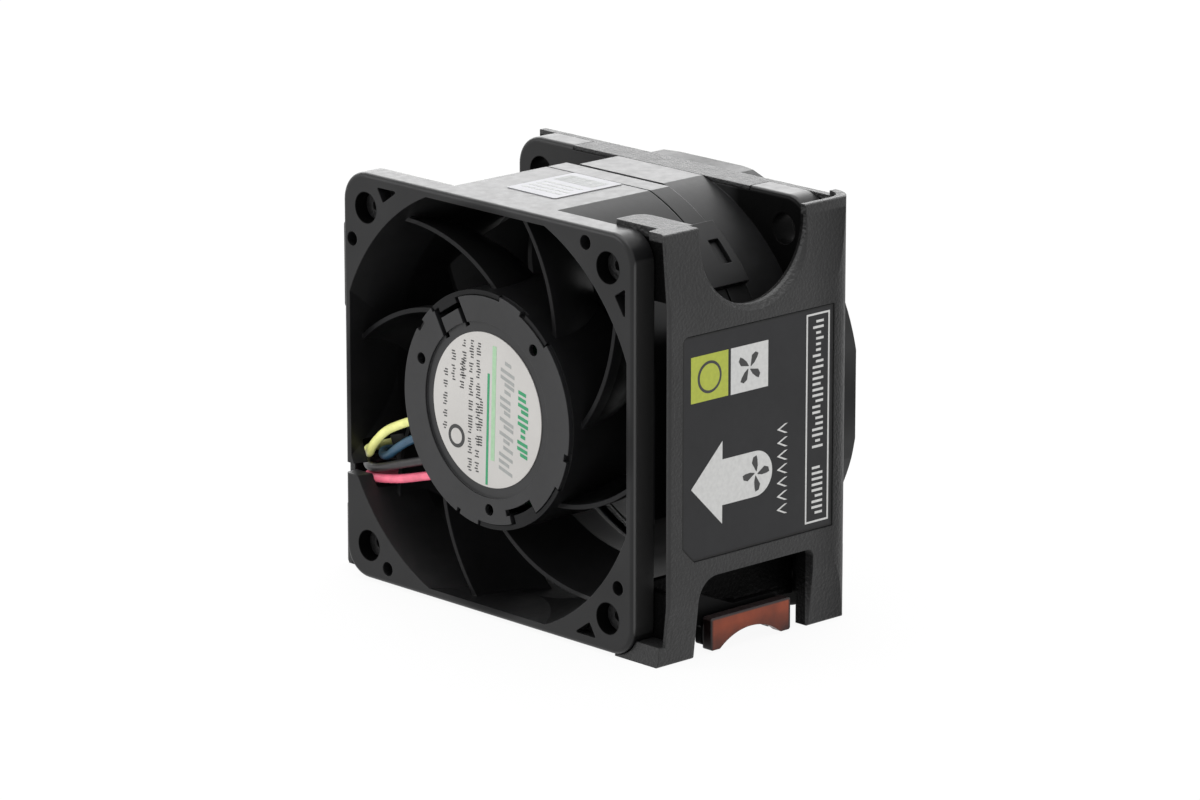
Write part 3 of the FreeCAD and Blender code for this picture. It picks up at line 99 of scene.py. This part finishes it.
def add_world():
    world = bpy.data.worlds.new("studio")
    bpy.context.scene.world = world
    world.use_nodes = True
    tree = world.node_tree
    tree.nodes.clear()
    soft = tree.nodes.new("ShaderNodeBackground")
    soft.inputs["Strength"].default_value = world_light
    white = tree.nodes.new("ShaderNodeBackground")
    for node in (soft, white):
        node.inputs["Color"].default_value = (1, 1, 1, 1)
    mix = tree.nodes.new("ShaderNodeMixShader")
    output = tree.nodes.new("ShaderNodeOutputWorld")
    tree.links.new(seen_directly(tree), mix.inputs[0])
    tree.links.new(soft.outputs[0], mix.inputs[1])
    tree.links.new(white.outputs[0], mix.inputs[2])
    tree.links.new(mix.outputs[0], output.inputs["Surface"])


def add_floor():
    mesh = bpy.data.meshes.new("floor")
    corners = [(-floor_half, -floor_half), (floor_half, -floor_half),
               (floor_half, floor_half), (-floor_half, floor_half)]
    mesh.from_pydata([(x, y, cad_box[0][2]) for x, y in corners], [], [(0, 1, 2, 3)])
    floor = bpy.data.objects.new("floor", mesh)
    bpy.context.scene.collection.objects.link(floor)
    material = bpy.data.materials.new("floor_paper")
    material.use_nodes = True
    tree = material.node_tree
    tree.nodes.clear()
    paper = tree.nodes.new("ShaderNodeBsdfDiffuse")
    paper.inputs["Color"].default_value = (0.9, 0.9, 0.9, 1)
    glow = tree.nodes.new("ShaderNodeEmission")
    share = tree.nodes.new("ShaderNodeMath")
    share.operation = "MULTIPLY"
    share.inputs[1].default_value = floor_glow
    tree.links.new(seen_directly(tree), share.inputs[0])
    mix = tree.nodes.new("ShaderNodeMixShader")
    output = tree.nodes.new("ShaderNodeOutputMaterial")
    tree.links.new(share.outputs[0], mix.inputs[0])
    tree.links.new(paper.outputs[0], mix.inputs[1])
    tree.links.new(glow.outputs[0], mix.inputs[2])
    tree.links.new(mix.outputs[0], output.inputs["Surface"])
    mesh.materials.append(material)


def add_softbox(name, place, aim, size, watts):
    data = bpy.data.lights.new(name, "AREA")
    data.shape = "RECTANGLE"
    data.size = size[0]
    data.size_y = size[1]
    data.energy = watts
    lamp = bpy.data.objects.new(name, data)
    bpy.context.scene.collection.objects.link(lamp)
    lamp.location = place
    lamp.rotation_euler = (Vector(aim) - Vector(place)).to_track_quat("-Z", "Y").to_euler()


# ---------------------------------------------------------------- materials
mix_sockets = {"FLOAT": (2, 3, 0), "RGBA": (6, 7, 2)}   # two inputs and the output of a Mix node


class Shader:
    """One Principled material with object-space noise for its colour, gloss and relief."""

    def __init__(self, name, color, roughness, metallic=0.0):
        self.material = bpy.data.materials.new(name)
        self.material.use_nodes = True
        self.tree = self.material.node_tree
        self.bsdf = self.tree.nodes["Principled BSDF"]
        self.bsdf.inputs["Base Color"].default_value = (*color, 1.0)
        self.bsdf.inputs["Roughness"].default_value = roughness
        self.bsdf.inputs["Metallic"].default_value = metallic
        self.material.diffuse_color = (*color, 1.0)
        self.place = self.tree.nodes.new("ShaderNodeTexCoord").outputs["Object"]
        self.relief = None

    def link(self, a, b):
        self.tree.links.new(a, b)

    def noise(self, per_mm, detail=2.0, stretch=(1.0, 1.0, 1.0)):
        mapping = self.tree.nodes.new("ShaderNodeMapping")
        mapping.inputs["Scale"].default_value = stretch
        noise = self.tree.nodes.new("ShaderNodeTexNoise")
        noise.inputs["Scale"].default_value = per_mm / MM
        noise.inputs["Detail"].default_value = detail
        self.link(self.place, mapping.inputs["Vector"])
        self.link(mapping.outputs["Vector"], noise.inputs["Vector"])
        return noise.outputs["Fac"]

    def waves(self, pitch_mm, kind, direction, place):
        wave = self.tree.nodes.new("ShaderNodeTexWave")
        wave.wave_type = kind
        if kind == "BANDS":
            wave.bands_direction = direction
        else:
            wave.rings_direction = direction
        wave.inputs["Scale"].default_value = math.pi / 10.0 / (pitch_mm * MM)
        wave.inputs["Distortion"].default_value = 0.0
        self.link(place, wave.inputs["Vector"])
        return wave.outputs["Fac"]

    def along(self, axis):
        """Coordinate of the shaded point on one of the frame's axes, in metres."""
        split = self.tree.nodes.new("ShaderNodeSeparateXYZ")
        self.link(self.place, split.inputs["Vector"])
        return split.outputs[axis]

    def from_axis(self):
        """Place across the rotor's axis, measured from that axis."""
        across = self.tree.nodes.new("ShaderNodeMapping")
        across.inputs["Location"].default_value = (0.0, 0.0, -rotor_axis_z)
        across.inputs["Scale"].default_value = (1.0, 0.0, 1.0)
        self.link(self.place, across.inputs["Vector"])
        return across.outputs["Vector"]

    def ranged(self, value, low, high, from_low=0.3, from_high=0.7):
        node = self.tree.nodes.new("ShaderNodeMapRange")
        node.inputs["From Min"].default_value = from_low
        node.inputs["From Max"].default_value = from_high
        node.inputs["To Min"].default_value = low
        node.inputs["To Max"].default_value = high
        self.link(value, node.inputs["Value"])
        return node.outputs["Result"]

    def combined(self, operation, a, b):
        node = self.tree.nodes.new("ShaderNodeMath")
        node.operation = operation
        self.link(a, node.inputs[0])
        self.link(b, node.inputs[1])
        return node.outputs[0]

    def mixed(self, kind, factor, first, second):
        """Mix of two numbers or two colours, each of them a constant or a socket."""
        mix = self.tree.nodes.new("ShaderNodeMix")
        mix.data_type = kind
        a, b, result = mix_sockets[kind]
        for slot, value in ((a, first), (b, second)):
            if isinstance(value, bpy.types.NodeSocket):
                self.link(value, mix.inputs[slot])
            else:
                mix.inputs[slot].default_value = value
        self.link(factor, mix.inputs[0])
        return mix.outputs[result]

    def mixed_color(self, factor, dark, light):
        color = self.mixed("RGBA", factor, (*dark, 1.0), (*light, 1.0))
        self.link(color, self.bsdf.inputs["Base Color"])
        return color

    def vary_color(self, per_mm, dark, light, stretch=(1.0, 1.0, 1.0)):
        factor = self.ranged(self.noise(per_mm, 3.0, stretch), 0.0, 1.0)
        self.mixed_color(factor, dark, light)

    def vary_gloss(self, per_mm, low, high, stretch=(1.0, 1.0, 1.0)):
        self.link(self.ranged(self.noise(per_mm, 3.0, stretch), low, high),
                  self.bsdf.inputs["Roughness"])

    def soft_edges(self, radius_mm):
        bevel = self.tree.nodes.new("ShaderNodeBevel")
        bevel.samples = 4
        bevel.inputs["Radius"].default_value = radius_mm * MM
        self.relief = bevel.outputs["Normal"]
        self.link(self.relief, self.bsdf.inputs["Normal"])

    def raise_by(self, height, depth_mm):
        bump = self.tree.nodes.new("ShaderNodeBump")
        bump.inputs["Strength"].default_value = 1.0
        bump.inputs["Distance"].default_value = depth_mm * MM
        self.link(height, bump.inputs["Height"])
        if self.relief:
            self.link(self.relief, bump.inputs["Normal"])
        self.relief = bump.outputs["Normal"]
        self.link(self.relief, self.bsdf.inputs["Normal"])

    def specular(self, level):
        self.bsdf.inputs["Specular IOR Level"].default_value = level

    def specular_drop_within(self, radius_mm, inner, outer):
        """Specular level that falls from outer to inner inside a radius of the rotor's axis."""
        length = self.tree.nodes.new("ShaderNodeVectorMath")
        length.operation = "LENGTH"
        self.link(self.from_axis(), length.inputs[0])
        level = self.ranged(length.outputs["Value"], inner, outer, radius_mm * MM,
                            (radius_mm + 1.0) * MM)
        self.link(level, self.bsdf.inputs["Specular IOR Level"])

    def inside(self, limits):
        """Factor that is 1 past every limit: an axis, an edge and a step beyond it, in mm."""
        total = None
        for axis, edge, step in limits:
            part = self.ranged(self.along(axis), 0.0, 1.0, edge * MM, (edge + step) * MM)
            total = self.combined("MULTIPLY", total, part) if total else part
        return total

    def near_holes(self, half_pitch, radius):
        """Factor that is 1 within a radius of the four corner holes' axes, in millimetres."""
        folded = self.tree.nodes.new("ShaderNodeVectorMath")
        folded.operation = "ABSOLUTE"
        offset = self.tree.nodes.new("ShaderNodeVectorMath")
        offset.operation = "DISTANCE"
        offset.inputs[1].default_value = (half_pitch * MM, 0.0, half_pitch * MM)
        self.link(self.from_axis(), folded.inputs[0])
        self.link(folded.outputs["Vector"], offset.inputs[0])
        return self.ranged(offset.outputs["Value"], 1.0, 0.0, radius * MM, (radius + 0.1) * MM)

    def patch(self, mask, level, color):
        """Plain plastic of another specular level and colour where the mask is 1."""
        for name, kind, value in (("Specular IOR Level", "FLOAT", level),
                                  ("Base Color", "RGBA", (*color, 1.0))):
            socket = self.bsdf.inputs[name]
            before = socket.links[0].from_socket if socket.is_linked else socket.default_value
            self.link(self.mixed(kind, mask, before, value), socket)


def shade(color, factor):
    return tuple(min(1.0, c * factor) for c in color)


def moulded_plastic(name, color, roughness, grain_per_mm, grain_mm, edge_mm=0.18, tint=0.25):
    """Moulded plastic: slow colour and gloss drift, fine grain, slightly rounded edges."""
    shader = Shader(name, color, roughness)
    shader.soft_edges(edge_mm)
    shader.vary_color(0.12, shade(color, 1.0 - tint), shade(color, 1.0 + tint))
    shader.vary_gloss(0.8, roughness - 0.03, roughness + 0.03)
    shader.raise_by(shader.noise(grain_per_mm, 4.0), grain_mm)
    return shader


def metal(name, color, roughness, stretch):
    """Turned or ground metal with marks drawn out along the tool's path."""
    shader = Shader(name, color, roughness, metallic=1.0)
    shader.soft_edges(0.05)
    shader.vary_color(1.2, shade(color, 0.85), shade(color, 1.12), stretch)
    shader.vary_gloss(3.0, roughness - 0.08, roughness + 0.1, stretch)
    shader.raise_by(shader.noise(9.0, 3.0, stretch), 0.004)
    return shader


def ink(name, color, roughness=0.5):
    """Screen-printed ink with a slight mottle."""
    shader = Shader(name, color, roughness)
    shader.vary_color(1.8, shade(color, 0.93), shade(color, 1.05))
    shader.raise_by(shader.noise(7.0, 2.0), 0.003)
    return shader.material


def insulation(name, color):
    """Extruded wire insulation, faintly ribbed by the strands under it."""
    shader = Shader(name, color, 0.38)
    shader.vary_color(0.5, shade(color, 0.82), shade(color, 1.15))
    shader.vary_gloss(1.2, 0.32, 0.48)
    shader.raise_by(shader.noise(1.6, 2.0), 0.02)
    return shader.material


black = (0.010, 0.010, 0.0105)
# near-black colour painted on faces that lie in shade
painted_shade_black = (0.003, 0.003, 0.003)
# lighter grey with high specular, painted light on the flange's side face
painted_light_grey = (0.02, 0.02, 0.02)
bolt_holes = next(m for m in frame["record"]["mounts"] if m["name"] == "rear_bolt_holes")["dims"]
hole_half_pitch = bolt_holes["spacing_x_mm"] / 2
hole_r = bolt_holes["hole_r_mm"]

# edges of the housing's patches of painted shade and painted light, in millimetres of the frame
front_low, front_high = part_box("outlet_housing")
flange_depth = 4.0
past_face = 0.15           # a patch's edge lies this far from the face that it takes in or leaves out
duct_r = front_high.x / MM - 1.0               # inside it lies the air duct
side_x = front_high.x / MM - 0.2               # past it lies the side under the label plate
flange_back_y = front_low.y / MM + flange_depth + past_face
rear_flange_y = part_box("inlet_housing")[1].y / MM - flange_depth - past_face
shade_top_z = front_high.z / MM - 14.45        # below it the plate shades the body's right side


def frame_material(name, duct_level):
    """Housing plastic with painted shade: less specular in the duct, near-black in the holes and on
    the faces that the carrier shades, and painted light on the flange's side.
    """
    shader = moulded_plastic(name, black, 0.36, 5.0, 0.006)
    # painted shade: the specular level falls inside the duct
    shader.specular_drop_within(duct_r, duct_level, 0.29)
    # painted shade in the corner holes
    shader.patch(shader.near_holes(hole_half_pitch, hole_r + 0.03), 0.04, painted_shade_black)
    # painted shade under the plate, on the body's side and on the rear flange's face; painted light
    # on the flange's side face
    under_plate = [("X", side_x, 0.1), ("Y", flange_back_y, 0.1)]
    flange_side = [("X", side_x, 0.1), ("Y", flange_back_y - 0.2, -0.1)]
    body_side = [("X", 18.0, 1.0), ("Y", flange_back_y + 0.1, 0.1), ("Z", shade_top_z, -2.0)]
    rear_face = [("X", 14.0, 2.0), ("Y", rear_flange_y, 0.1), ("Y", rear_flange_y + 0.4, -0.1)]
    for limits, level, color in ((under_plate, 0.06, painted_shade_black), (flange_side, 0.7, painted_light_grey),
                                 (body_side, 0.04, painted_shade_black), (rear_face, 0.06, painted_shade_black)):
        shader.patch(shader.inside(limits), level, color)
    return shader


frame_plastic = frame_material("frame_plastic", 0.12)
# painted shade: a copy of the housing plastic with a deeper specular drop in the inlet's duct
inlet_duct_shade_plastic = frame_material("inlet_duct_shade_plastic", 0.02)
cover_plastic = moulded_plastic("cover_plastic", (0.012, 0.012, 0.013), 0.46, 6.0, 0.008)
impeller_plastic = moulded_plastic("impeller_plastic", black, 0.4, 5.0, 0.005)
impeller_plastic.specular(0.12)
guard_plastic = moulded_plastic("guard_plastic", black, 0.45, 5.0, 0.008)
guard_plastic.specular_drop_within(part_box("inlet_guard")[1].x / MM - 0.2, 0.12, 0.34)
carrier_black = (0.012, 0.012, 0.0123)
carrier_plastic = moulded_plastic("carrier_plastic", carrier_black, 0.46, 2.2, 0.2, 0.3)
carrier_plastic.specular(0.45)


def shade_carrier():
    """Painted shade on the carrier plastic: less specular towards the rear, and near-black on the
    faces turned to the fan.
    """
    low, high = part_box("side_carrier")
    under_top = ("Z", high.z / MM - 1.3, -0.2)
    inner = [("X", high.x / MM - 1.4, -0.2), ("X", low.x / MM + 1.2, 0.2),
             ("Y", high.y / MM - 0.5, -0.2), ("Y", low.y / MM + 3.1, 0.1), under_top]
    rearward = [("Y", high.y / MM - 10.05, 7.0), under_top]
    # painted shade: the specular falls towards the rear, and the inner faces go near-black
    carrier_plastic.patch(carrier_plastic.inside(rearward), 0.2, carrier_black)
    carrier_plastic.patch(carrier_plastic.inside(inner), 0.05, painted_shade_black)


shade_carrier()
# painted shade: a darker, less glossy copy of the carrier plastic for the latch arm, which lies in
# shade
latch_shaded_plastic = moulded_plastic("latch_shaded_plastic", (0.004, 0.004, 0.0042), 0.36, 5.0, 0.004)
latch_shaded_plastic.specular(0.06)
connector_plastic = moulded_plastic("connector_plastic", (0.024, 0.024, 0.025), 0.44, 6.0, 0.006, 0.1)
cage_plastic = moulded_plastic("cage_plastic", (0.45, 0.36, 0.22), 0.5, 6.0, 0.006, 0.05)
clip_plastic = moulded_plastic("clip_plastic", (0.62, 0.6, 0.54), 0.5, 6.0, 0.006, 0.05)
insulator_plastic = moulded_plastic("insulator_plastic", (0.6, 0.57, 0.47), 0.5, 5.0, 0.008, 0.1)
component_plastic = moulded_plastic("component_plastic", (0.025, 0.025, 0.028), 0.5, 8.0, 0.01, 0.08)
magnet_face = moulded_plastic("magnet_ferrite", (0.05, 0.05, 0.055), 0.6, 7.0, 0.02, 0.1)

label_film = moulded_plastic("label_film", (0.018, 0.018, 0.0195), 0.5, 9.0, 0.004, 0.02, 0.12)
label_film.specular(0.26)
hub_label_film = moulded_plastic("hub_label_film", (0.54, 0.525, 0.505), 0.42, 9.0, 0.003, 0.02, 0.03)
sticker_film = moulded_plastic("sticker_film", (0.44, 0.44, 0.46), 0.6, 7.0, 0.004, 0.02, 0.05)
sticker_film.specular(0.25)

pad_plastic = Shader("touch_pad_plastic", (0.3, 0.06, 0.03), 0.34)
pad_plastic.soft_edges(0.3)
pad_plastic.specular(0.3)


def shade_pad():
    """Translucent orange-red moulding with painted shade at both ends and towards the bottom, random
    darker spots, and a dark grey band under the top edge.
    """
    low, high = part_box("touch_pad")
    # painted shade: near-black at both ends and darker towards the bottom
    ends = pad_plastic.inside([("Y", low.y / MM + 0.2, 0.4), ("Y", high.y / MM - 0.1, -0.4)])
    upward = pad_plastic.ranged(pad_plastic.along("Z"), 0.1, 0.7, low.z,
                                low.z + 0.7 * (high.z - low.z))
    spots = pad_plastic.ranged(pad_plastic.noise(0.22, 3.0), -0.1, 0.35)
    glow = pad_plastic.combined("MULTIPLY", pad_plastic.combined("ADD", upward, spots), ends)
    body = pad_plastic.mixed_color(glow, (0.006, 0.002, 0.002), (0.33, 0.06, 0.02))
    rim = pad_plastic.ranged(pad_plastic.along("Z"), 0.0, 1.0, high.z - 0.45 * MM,
                             high.z - 0.25 * MM)
    pad_plastic.link(pad_plastic.mixed("RGBA", rim, body, (0.035, 0.025, 0.025, 1.0)),
                     pad_plastic.bsdf.inputs["Base Color"])
    pad_plastic.vary_gloss(0.8, 0.28, 0.42)
    pad_plastic.raise_by(pad_plastic.noise(3.0, 3.0), 0.01)


shade_pad()

bearing_steel = metal("bearing_steel", (0.6, 0.6, 0.62), 0.2, (1.0, 6.0, 1.0))
shaft_steel = metal("shaft_steel", (0.6, 0.6, 0.62), 0.22, (1.0, 6.0, 1.0))
spring_steel = metal("spring_steel", (0.45, 0.46, 0.5), 0.3, (1.0, 2.0, 1.0))
rotor_steel = metal("rotor_steel", (0.5, 0.5, 0.52), 0.34, (1.0, 0.2, 1.0))
brass = metal("brass", (0.62, 0.47, 0.2), 0.28, (1.0, 6.0, 1.0))
tinned = metal("tinned_pin", (0.66, 0.66, 0.63), 0.3, (1.0, 1.0, 1.0))

laminations = Shader("lamination_steel", (0.3, 0.31, 0.33), 0.42, metallic=1.0)
laminations.vary_color(1.5, (0.22, 0.23, 0.25), (0.36, 0.37, 0.4))
laminations.raise_by(laminations.waves(0.35, "BANDS", "Y", laminations.place), 0.04)

copper = Shader("enamelled_copper", (0.55, 0.2, 0.07), 0.3, metallic=0.9)
copper.vary_color(0.9, (0.42, 0.14, 0.045), (0.68, 0.29, 0.1))
copper.raise_by(copper.waves(0.34, "RINGS", "Y", copper.from_axis()), 0.12)

board = Shader("board_laminate", (0.02, 0.16, 0.06), 0.32)
board.vary_color(0.6, (0.014, 0.12, 0.045), (0.03, 0.2, 0.08))
board.raise_by(board.noise(2.4, 3.0), 0.01)

finishes = {
    "frame_plastic": frame_plastic.material,
    "cover_plastic": cover_plastic.material,
    "label_film": label_film.material,
    "sticker_film": sticker_film.material,
    "tube_brass": brass.material,
    "bearing_steel": bearing_steel.material,
    "cage_plastic": cage_plastic.material,
    "lamination_steel": laminations.material,
    "insulator_plastic": insulator_plastic.material,
    "enamelled_copper": copper.material,
    "tinned_pin": tinned.material,
    "board_laminate": board.material,
    "component_plastic": component_plastic.material,
    "shaft_steel": shaft_steel.material,
    "clip_plastic": clip_plastic.material,
    "spring_steel": spring_steel.material,
    "bushing_brass": brass.material,
    "rotor_steel": rotor_steel.material,
    "magnet": magnet_face.material,
    "impeller_plastic": impeller_plastic.material,
    "carrier_plastic": carrier_plastic.material,
    "guard_plastic": guard_plastic.material,
    "touch_pad_plastic": pad_plastic.material,
    "connector_plastic": connector_plastic.material,
    "contact_brass": brass.material,
    "red_insulation": insulation("red_insulation", (0.9, 0.16, 0.25)),
    "black_insulation": insulation("black_insulation", (0.022, 0.02, 0.021)),
    "blue_insulation": insulation("blue_insulation", (0.025, 0.08, 0.14)),
    "yellow_insulation": insulation("yellow_insulation", (0.95, 0.96, 0.32)),
}


def dress_nodes():
    for part in frame["record"]["subparts"]:
        node = nodes[part["node"]]
        node.data.materials.clear()
        node.data.materials.append(finishes[part["material_slot"]])
    nodes["hub_label"].data.materials[0] = hub_label_film.material
    nodes["inlet_housing"].data.materials[0] = inlet_duct_shade_plastic.material
    nodes["latch_arm"].data.materials[0] = latch_shaded_plastic.material


# ---------------------------------------------------------------- prints
# millimetres
print_thickness = 0.02
first_layer = 0.004        # height of a print's underside over its label
second_layer = 0.026
third_layer = 0.048
label_chamfer = 2.15       # lower corner of the plate label
unbroken = (90, 91)        # strokes in a row without word gaps


class Sheet:
    """A face to print on: its origin and its two directions, in metres."""

    def __init__(self, origin, across, up, out):
        self.origin = Vector(origin)
        self.across = Vector(across)
        self.up = Vector(up)
        self.out = Vector(out)

    def at(self, u, v, lift):
        return self.origin + (self.across * u + self.up * v + self.out * lift) * MM


def printed(name, sheet, outlines, material, lift=first_layer):
    """Thin closed prisms with the given outlines, in millimetres on the sheet."""
    mesh = bpy.data.meshes.new(name)
    bm = bmesh.new()
    for outline in outlines:
        low = [bm.verts.new(sheet.at(u, v, lift)) for u, v in outline]
        high = [bm.verts.new(sheet.at(u, v, lift + print_thickness)) for u, v in outline]
        count = len(outline)
        for i in range(count):
            j = (i + 1) % count
            bm.faces.new((low[i], low[j], high[j], high[i]))
        caps = [bm.faces.new(list(reversed(low))), bm.faces.new(high)]
        bm.normal_update()
        bmesh.ops.triangulate(bm, faces=caps)
    bmesh.ops.recalc_face_normals(bm, faces=bm.faces)
    bm.to_mesh(mesh)
    bm.free()
    mesh.materials.append(material)
    piece = bpy.data.objects.new(name, mesh)
    bpy.context.scene.collection.objects.link(piece)
    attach(piece, "frame")


def rectangle(u0, u1, v0, v1):
    return [(u0, v0), (u1, v0), (u1, v1), (u0, v1)]


def border(u0, u1, v0, v1, line):
    """Four strips inside the edges of a rectangle."""
    return [rectangle(u0, u0 + line, v0, v1), rectangle(u1 - line, u1, v0, v1),
            rectangle(u0 + line, u1 - line, v0, v0 + line),
            rectangle(u0 + line, u1 - line, v1 - line, v1)]


def arc(u, v, r, start, end, steps):
    angles = [math.radians(start + (end - start) * i / steps) for i in range(steps + 1)]
    return [(u + r * math.cos(a), v + r * math.sin(a)) for a in angles]


def disc(u, v, r, steps):
    return arc(u, v, r, 0, 360, steps)[:-1]


def rosette(u, v, r, count, turn):
    """Petals of a plain fan sign."""
    petals = []
    for k in range(count):
        base = turn + 360.0 * k / count
        petal = []
        for share in (0.12, 0.45, 0.8, 1.0):
            a = math.radians(base + 26.0 * share)
            petal.append((u + r * share * math.cos(a), v + r * share * math.sin(a)))
        for share in (0.95, 0.7, 0.35, 0.12):
            a = math.radians(base + 26.0 * share + 34.0 * math.sin(math.pi * min(share, 0.93)) + 9.0)
            petal.append((u + r * share * math.cos(a), v + r * share * math.sin(a)))
        petals.append(petal)
    return petals


def strokes_along(u0, u1, v0, v1, pitch, stroke, lean=0.0, words=(3, 7)):
    """Fine strokes across a row, in groups of a random number from words, from v1 down to v0."""
    word_gap = 1.4
    bars = []
    v = v1
    left = rng.randint(*words)
    while v - stroke > v0:
        low = u0 + rng.choice((0.0, 0.0, 0.3)) * (u1 - u0)
        high = u1 - rng.choice((0.0, 0.0, 0.25)) * (u1 - u0)
        tilt = lean * (high - low)
        bars.append([(low, v - stroke), (high, v - stroke - tilt), (high, v - tilt), (low, v)])
        left -= 1
        v -= pitch if left else pitch * (1.0 + word_gap)
        left = left or rng.randint(*words)
    return bars


def chevrons_along(u0, u1, v0, v1, count, stroke):
    """Chevrons in a column, all pointing towards low u."""
    pitch = (v1 - v0) / count
    marks = []
    for i in range(count):
        low = v0 + pitch * i
        high = low + pitch * 0.72
        middle = (low + high) / 2
        marks.append([(u0, middle), (u1 - stroke, low), (u1, low), (u0 + stroke, middle),
                      (u1, high), (u1 - stroke, high)])
    return marks


white_ink = ink("white_ink", (0.62, 0.62, 0.61))
dark_ink = ink("dark_ink", (0.035, 0.035, 0.035))
# near-black painted shadow for the gap around the plate label
gap_shadow_paint = ink("gap_shadow_paint", (0.004, 0.004, 0.004), 0.7)
lime_ink = ink("lime_ink", (0.42, 0.47, 0.05))
grey_ink = ink("grey_ink", (0.33, 0.34, 0.33))
green_ink = ink("green_ink", (0.03, 0.3, 0.13))
pale_green_ink = ink("pale_green_ink", (0.36, 0.56, 0.36))


def print_plate_label():
    low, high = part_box("carrier_label")
    sheet = Sheet((high.x, low.y, low.z), (0, 1, 0), (0, 0, 1), (1, 0, 0))
    printed("plate_print_lime", sheet, [rectangle(1.55, 8.7, 22.5, 29.05)], lime_ink)
    printed("plate_print_lime_mark", sheet, [disc(5.1, 25.8, 2.3, 48)], dark_ink,
            second_layer)
    printed("plate_print_lime_centre", sheet, [disc(5.1, 25.8, 1.9, 48)], lime_ink,
            third_layer)
    printed("plate_print_white", sheet, [rectangle(9.2, 16.45, 22.45, 29.05)], white_ink)
    printed("plate_print_white_mark", sheet, rosette(12.8, 25.75, 2.5, 4, 20.0), dark_ink,
            second_layer)
    head_tip, head_back, tail = 1.65, 7.65, 14.1
    shaft_low, shaft_high = 7.0, 13.56
    arrow = [(head_tip, 10.3), (head_back, 4.35), (head_back, shaft_low), (tail, shaft_low)]
    arrow += arc(tail, (shaft_low + shaft_high) / 2, (shaft_high - shaft_low) / 2, -90, 90, 24)[1:-1]
    arrow += [(tail, shaft_high), (head_back, shaft_high), (head_back, 16.2)]
    printed("plate_print_arrow", sheet, [arrow], white_ink)
    printed("plate_print_arrow_mark", sheet, rosette(14.2, 10.3, 2.6, 4, 62.0), dark_ink,
            second_layer)
    printed("plate_print_row", sheet, chevrons_along(18.3, 20.4, 3.45, 17.0, 7, 0.55),
            white_ink)
    printed("plate_print_frame", sheet, border(23.95, 28.55, 0.98, 31.25, 0.28), white_ink)
    ticks = []
    for v0, v1 in ((2.1, 9.1), (11.0, 30.2)):
        ticks += strokes_along(25.25, 27.35, v0, v1, 0.82, 0.36, words=unbroken)
    printed("plate_print_frame_row", sheet, ticks, white_ink)
    # painted shadow: near-black strips inside the label's edges, where the gap to its recess lies in
    # shade
    edge = 0.22
    width = (high.y - low.y) / MM
    height = (high.z - low.z) / MM
    corner = label_chamfer
    rim = [rectangle(0.0, edge, corner, height), rectangle(width - edge, width, 0.0, height),
           rectangle(corner, width - edge, 0.0, edge),
           rectangle(edge, width - edge, height - edge, height),
           [(0.0, corner), (corner, 0.0), (corner, edge * 1.4), (edge * 1.4, corner)]]
    printed("plate_label_gap_shadow", sheet, rim, gap_shadow_paint)


def print_hub_label():
    low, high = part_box("hub_label")
    centre = ((low.x + high.x) / 2, low.y, (low.z + high.z) / 2)
    tilt = math.radians(2.0)
    across = Vector((math.cos(tilt), 0, -math.sin(tilt)))
    up = Vector((math.sin(tilt), 0, math.cos(tilt)))
    sheet = Sheet(centre, across, up, (0, -1, 0))
    printed("hub_print_line", sheet, [rectangle(0.0, 0.45, -10.9, 5.4)], green_ink)
    printed("hub_print_band", sheet, [rectangle(0.95, 1.75, -7.1, 9.6)], pale_green_ink)
    printed("hub_print_grey", sheet, strokes_along(2.7, 5.5, -8.0, 7.9, 1.02, 0.5, 0.28, unbroken),
            grey_ink)
    printed("hub_print_green", sheet, strokes_along(6.4, 8.5, -5.4, 4.4, 0.9, 0.52, 0.2, unbroken),
            green_ink)
    rows = []
    for u, v0, v1 in ((-1.3, -6.4, 1.4), (-1.9, -10.2, 9.4), (-3.4, -9.8, 9.5), (-4.9, 3.3, 9.2),
                      (-5.3, 1.8, 6.4), (-7.1, 2.0, 7.2), (-8.7, -4.7, 4.2)):
        rows += strokes_along(u - 0.42, u + 0.42, v0, v1, 0.4, 0.19)
    printed("hub_print_rows", sheet, rows, dark_ink)
    printed("hub_print_ring", sheet, [disc(-6.2, -5.2, 1.7, 40)], dark_ink)
    printed("hub_print_ring_centre", sheet, [disc(-6.2, -5.2, 1.15, 40)], hub_label_film.material,
            second_layer)


def print_top_sticker():
    low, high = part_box("top_sticker")
    sheet = Sheet((low.x, low.y, high.z), (1, 0, 0), (0, 1, 0), (0, 0, 1))
    margin = 1.0
    row_end = 9.0
    row_height = 0.55
    row_gap = 0.3
    bars = []
    u = margin
    while u < row_end - 0.4:
        width = rng.choice((0.12, 0.2, 0.3))
        bars.append(rectangle(u, u + width, 8.2, 11.6))
        u += width + rng.choice((0.14, 0.22))
    printed("sticker_print_bars", sheet, bars, grey_ink)
    rows = []
    for v in (2.0, 3.4, 4.8, 6.2):
        u = margin
        while u < row_end - 0.6:
            width = rng.uniform(0.4, 1.1)
            rows.append(rectangle(u, min(u + width, row_end), v, v + row_height))
            u += width + row_gap
    printed("sticker_print_rows", sheet, rows, grey_ink)


add_camera()
add_world()
add_floor()
add_softbox("top_light", (-0.05, 0.05, 0.75), (0, 0, 0.03), (0.7, 0.7), 4.0)
add_softbox("left_light", (-0.55, -0.75, 0.45), (0, 0, 0.03), (0.5, 0.5), 2.5)
add_softbox("back_light", (-0.66, 0.63, 0.4), (0, 0, 0.05), (1.1, 0.6), 6.2)
dress_nodes()
print_plate_label()
print_hub_label()
print_top_sticker()
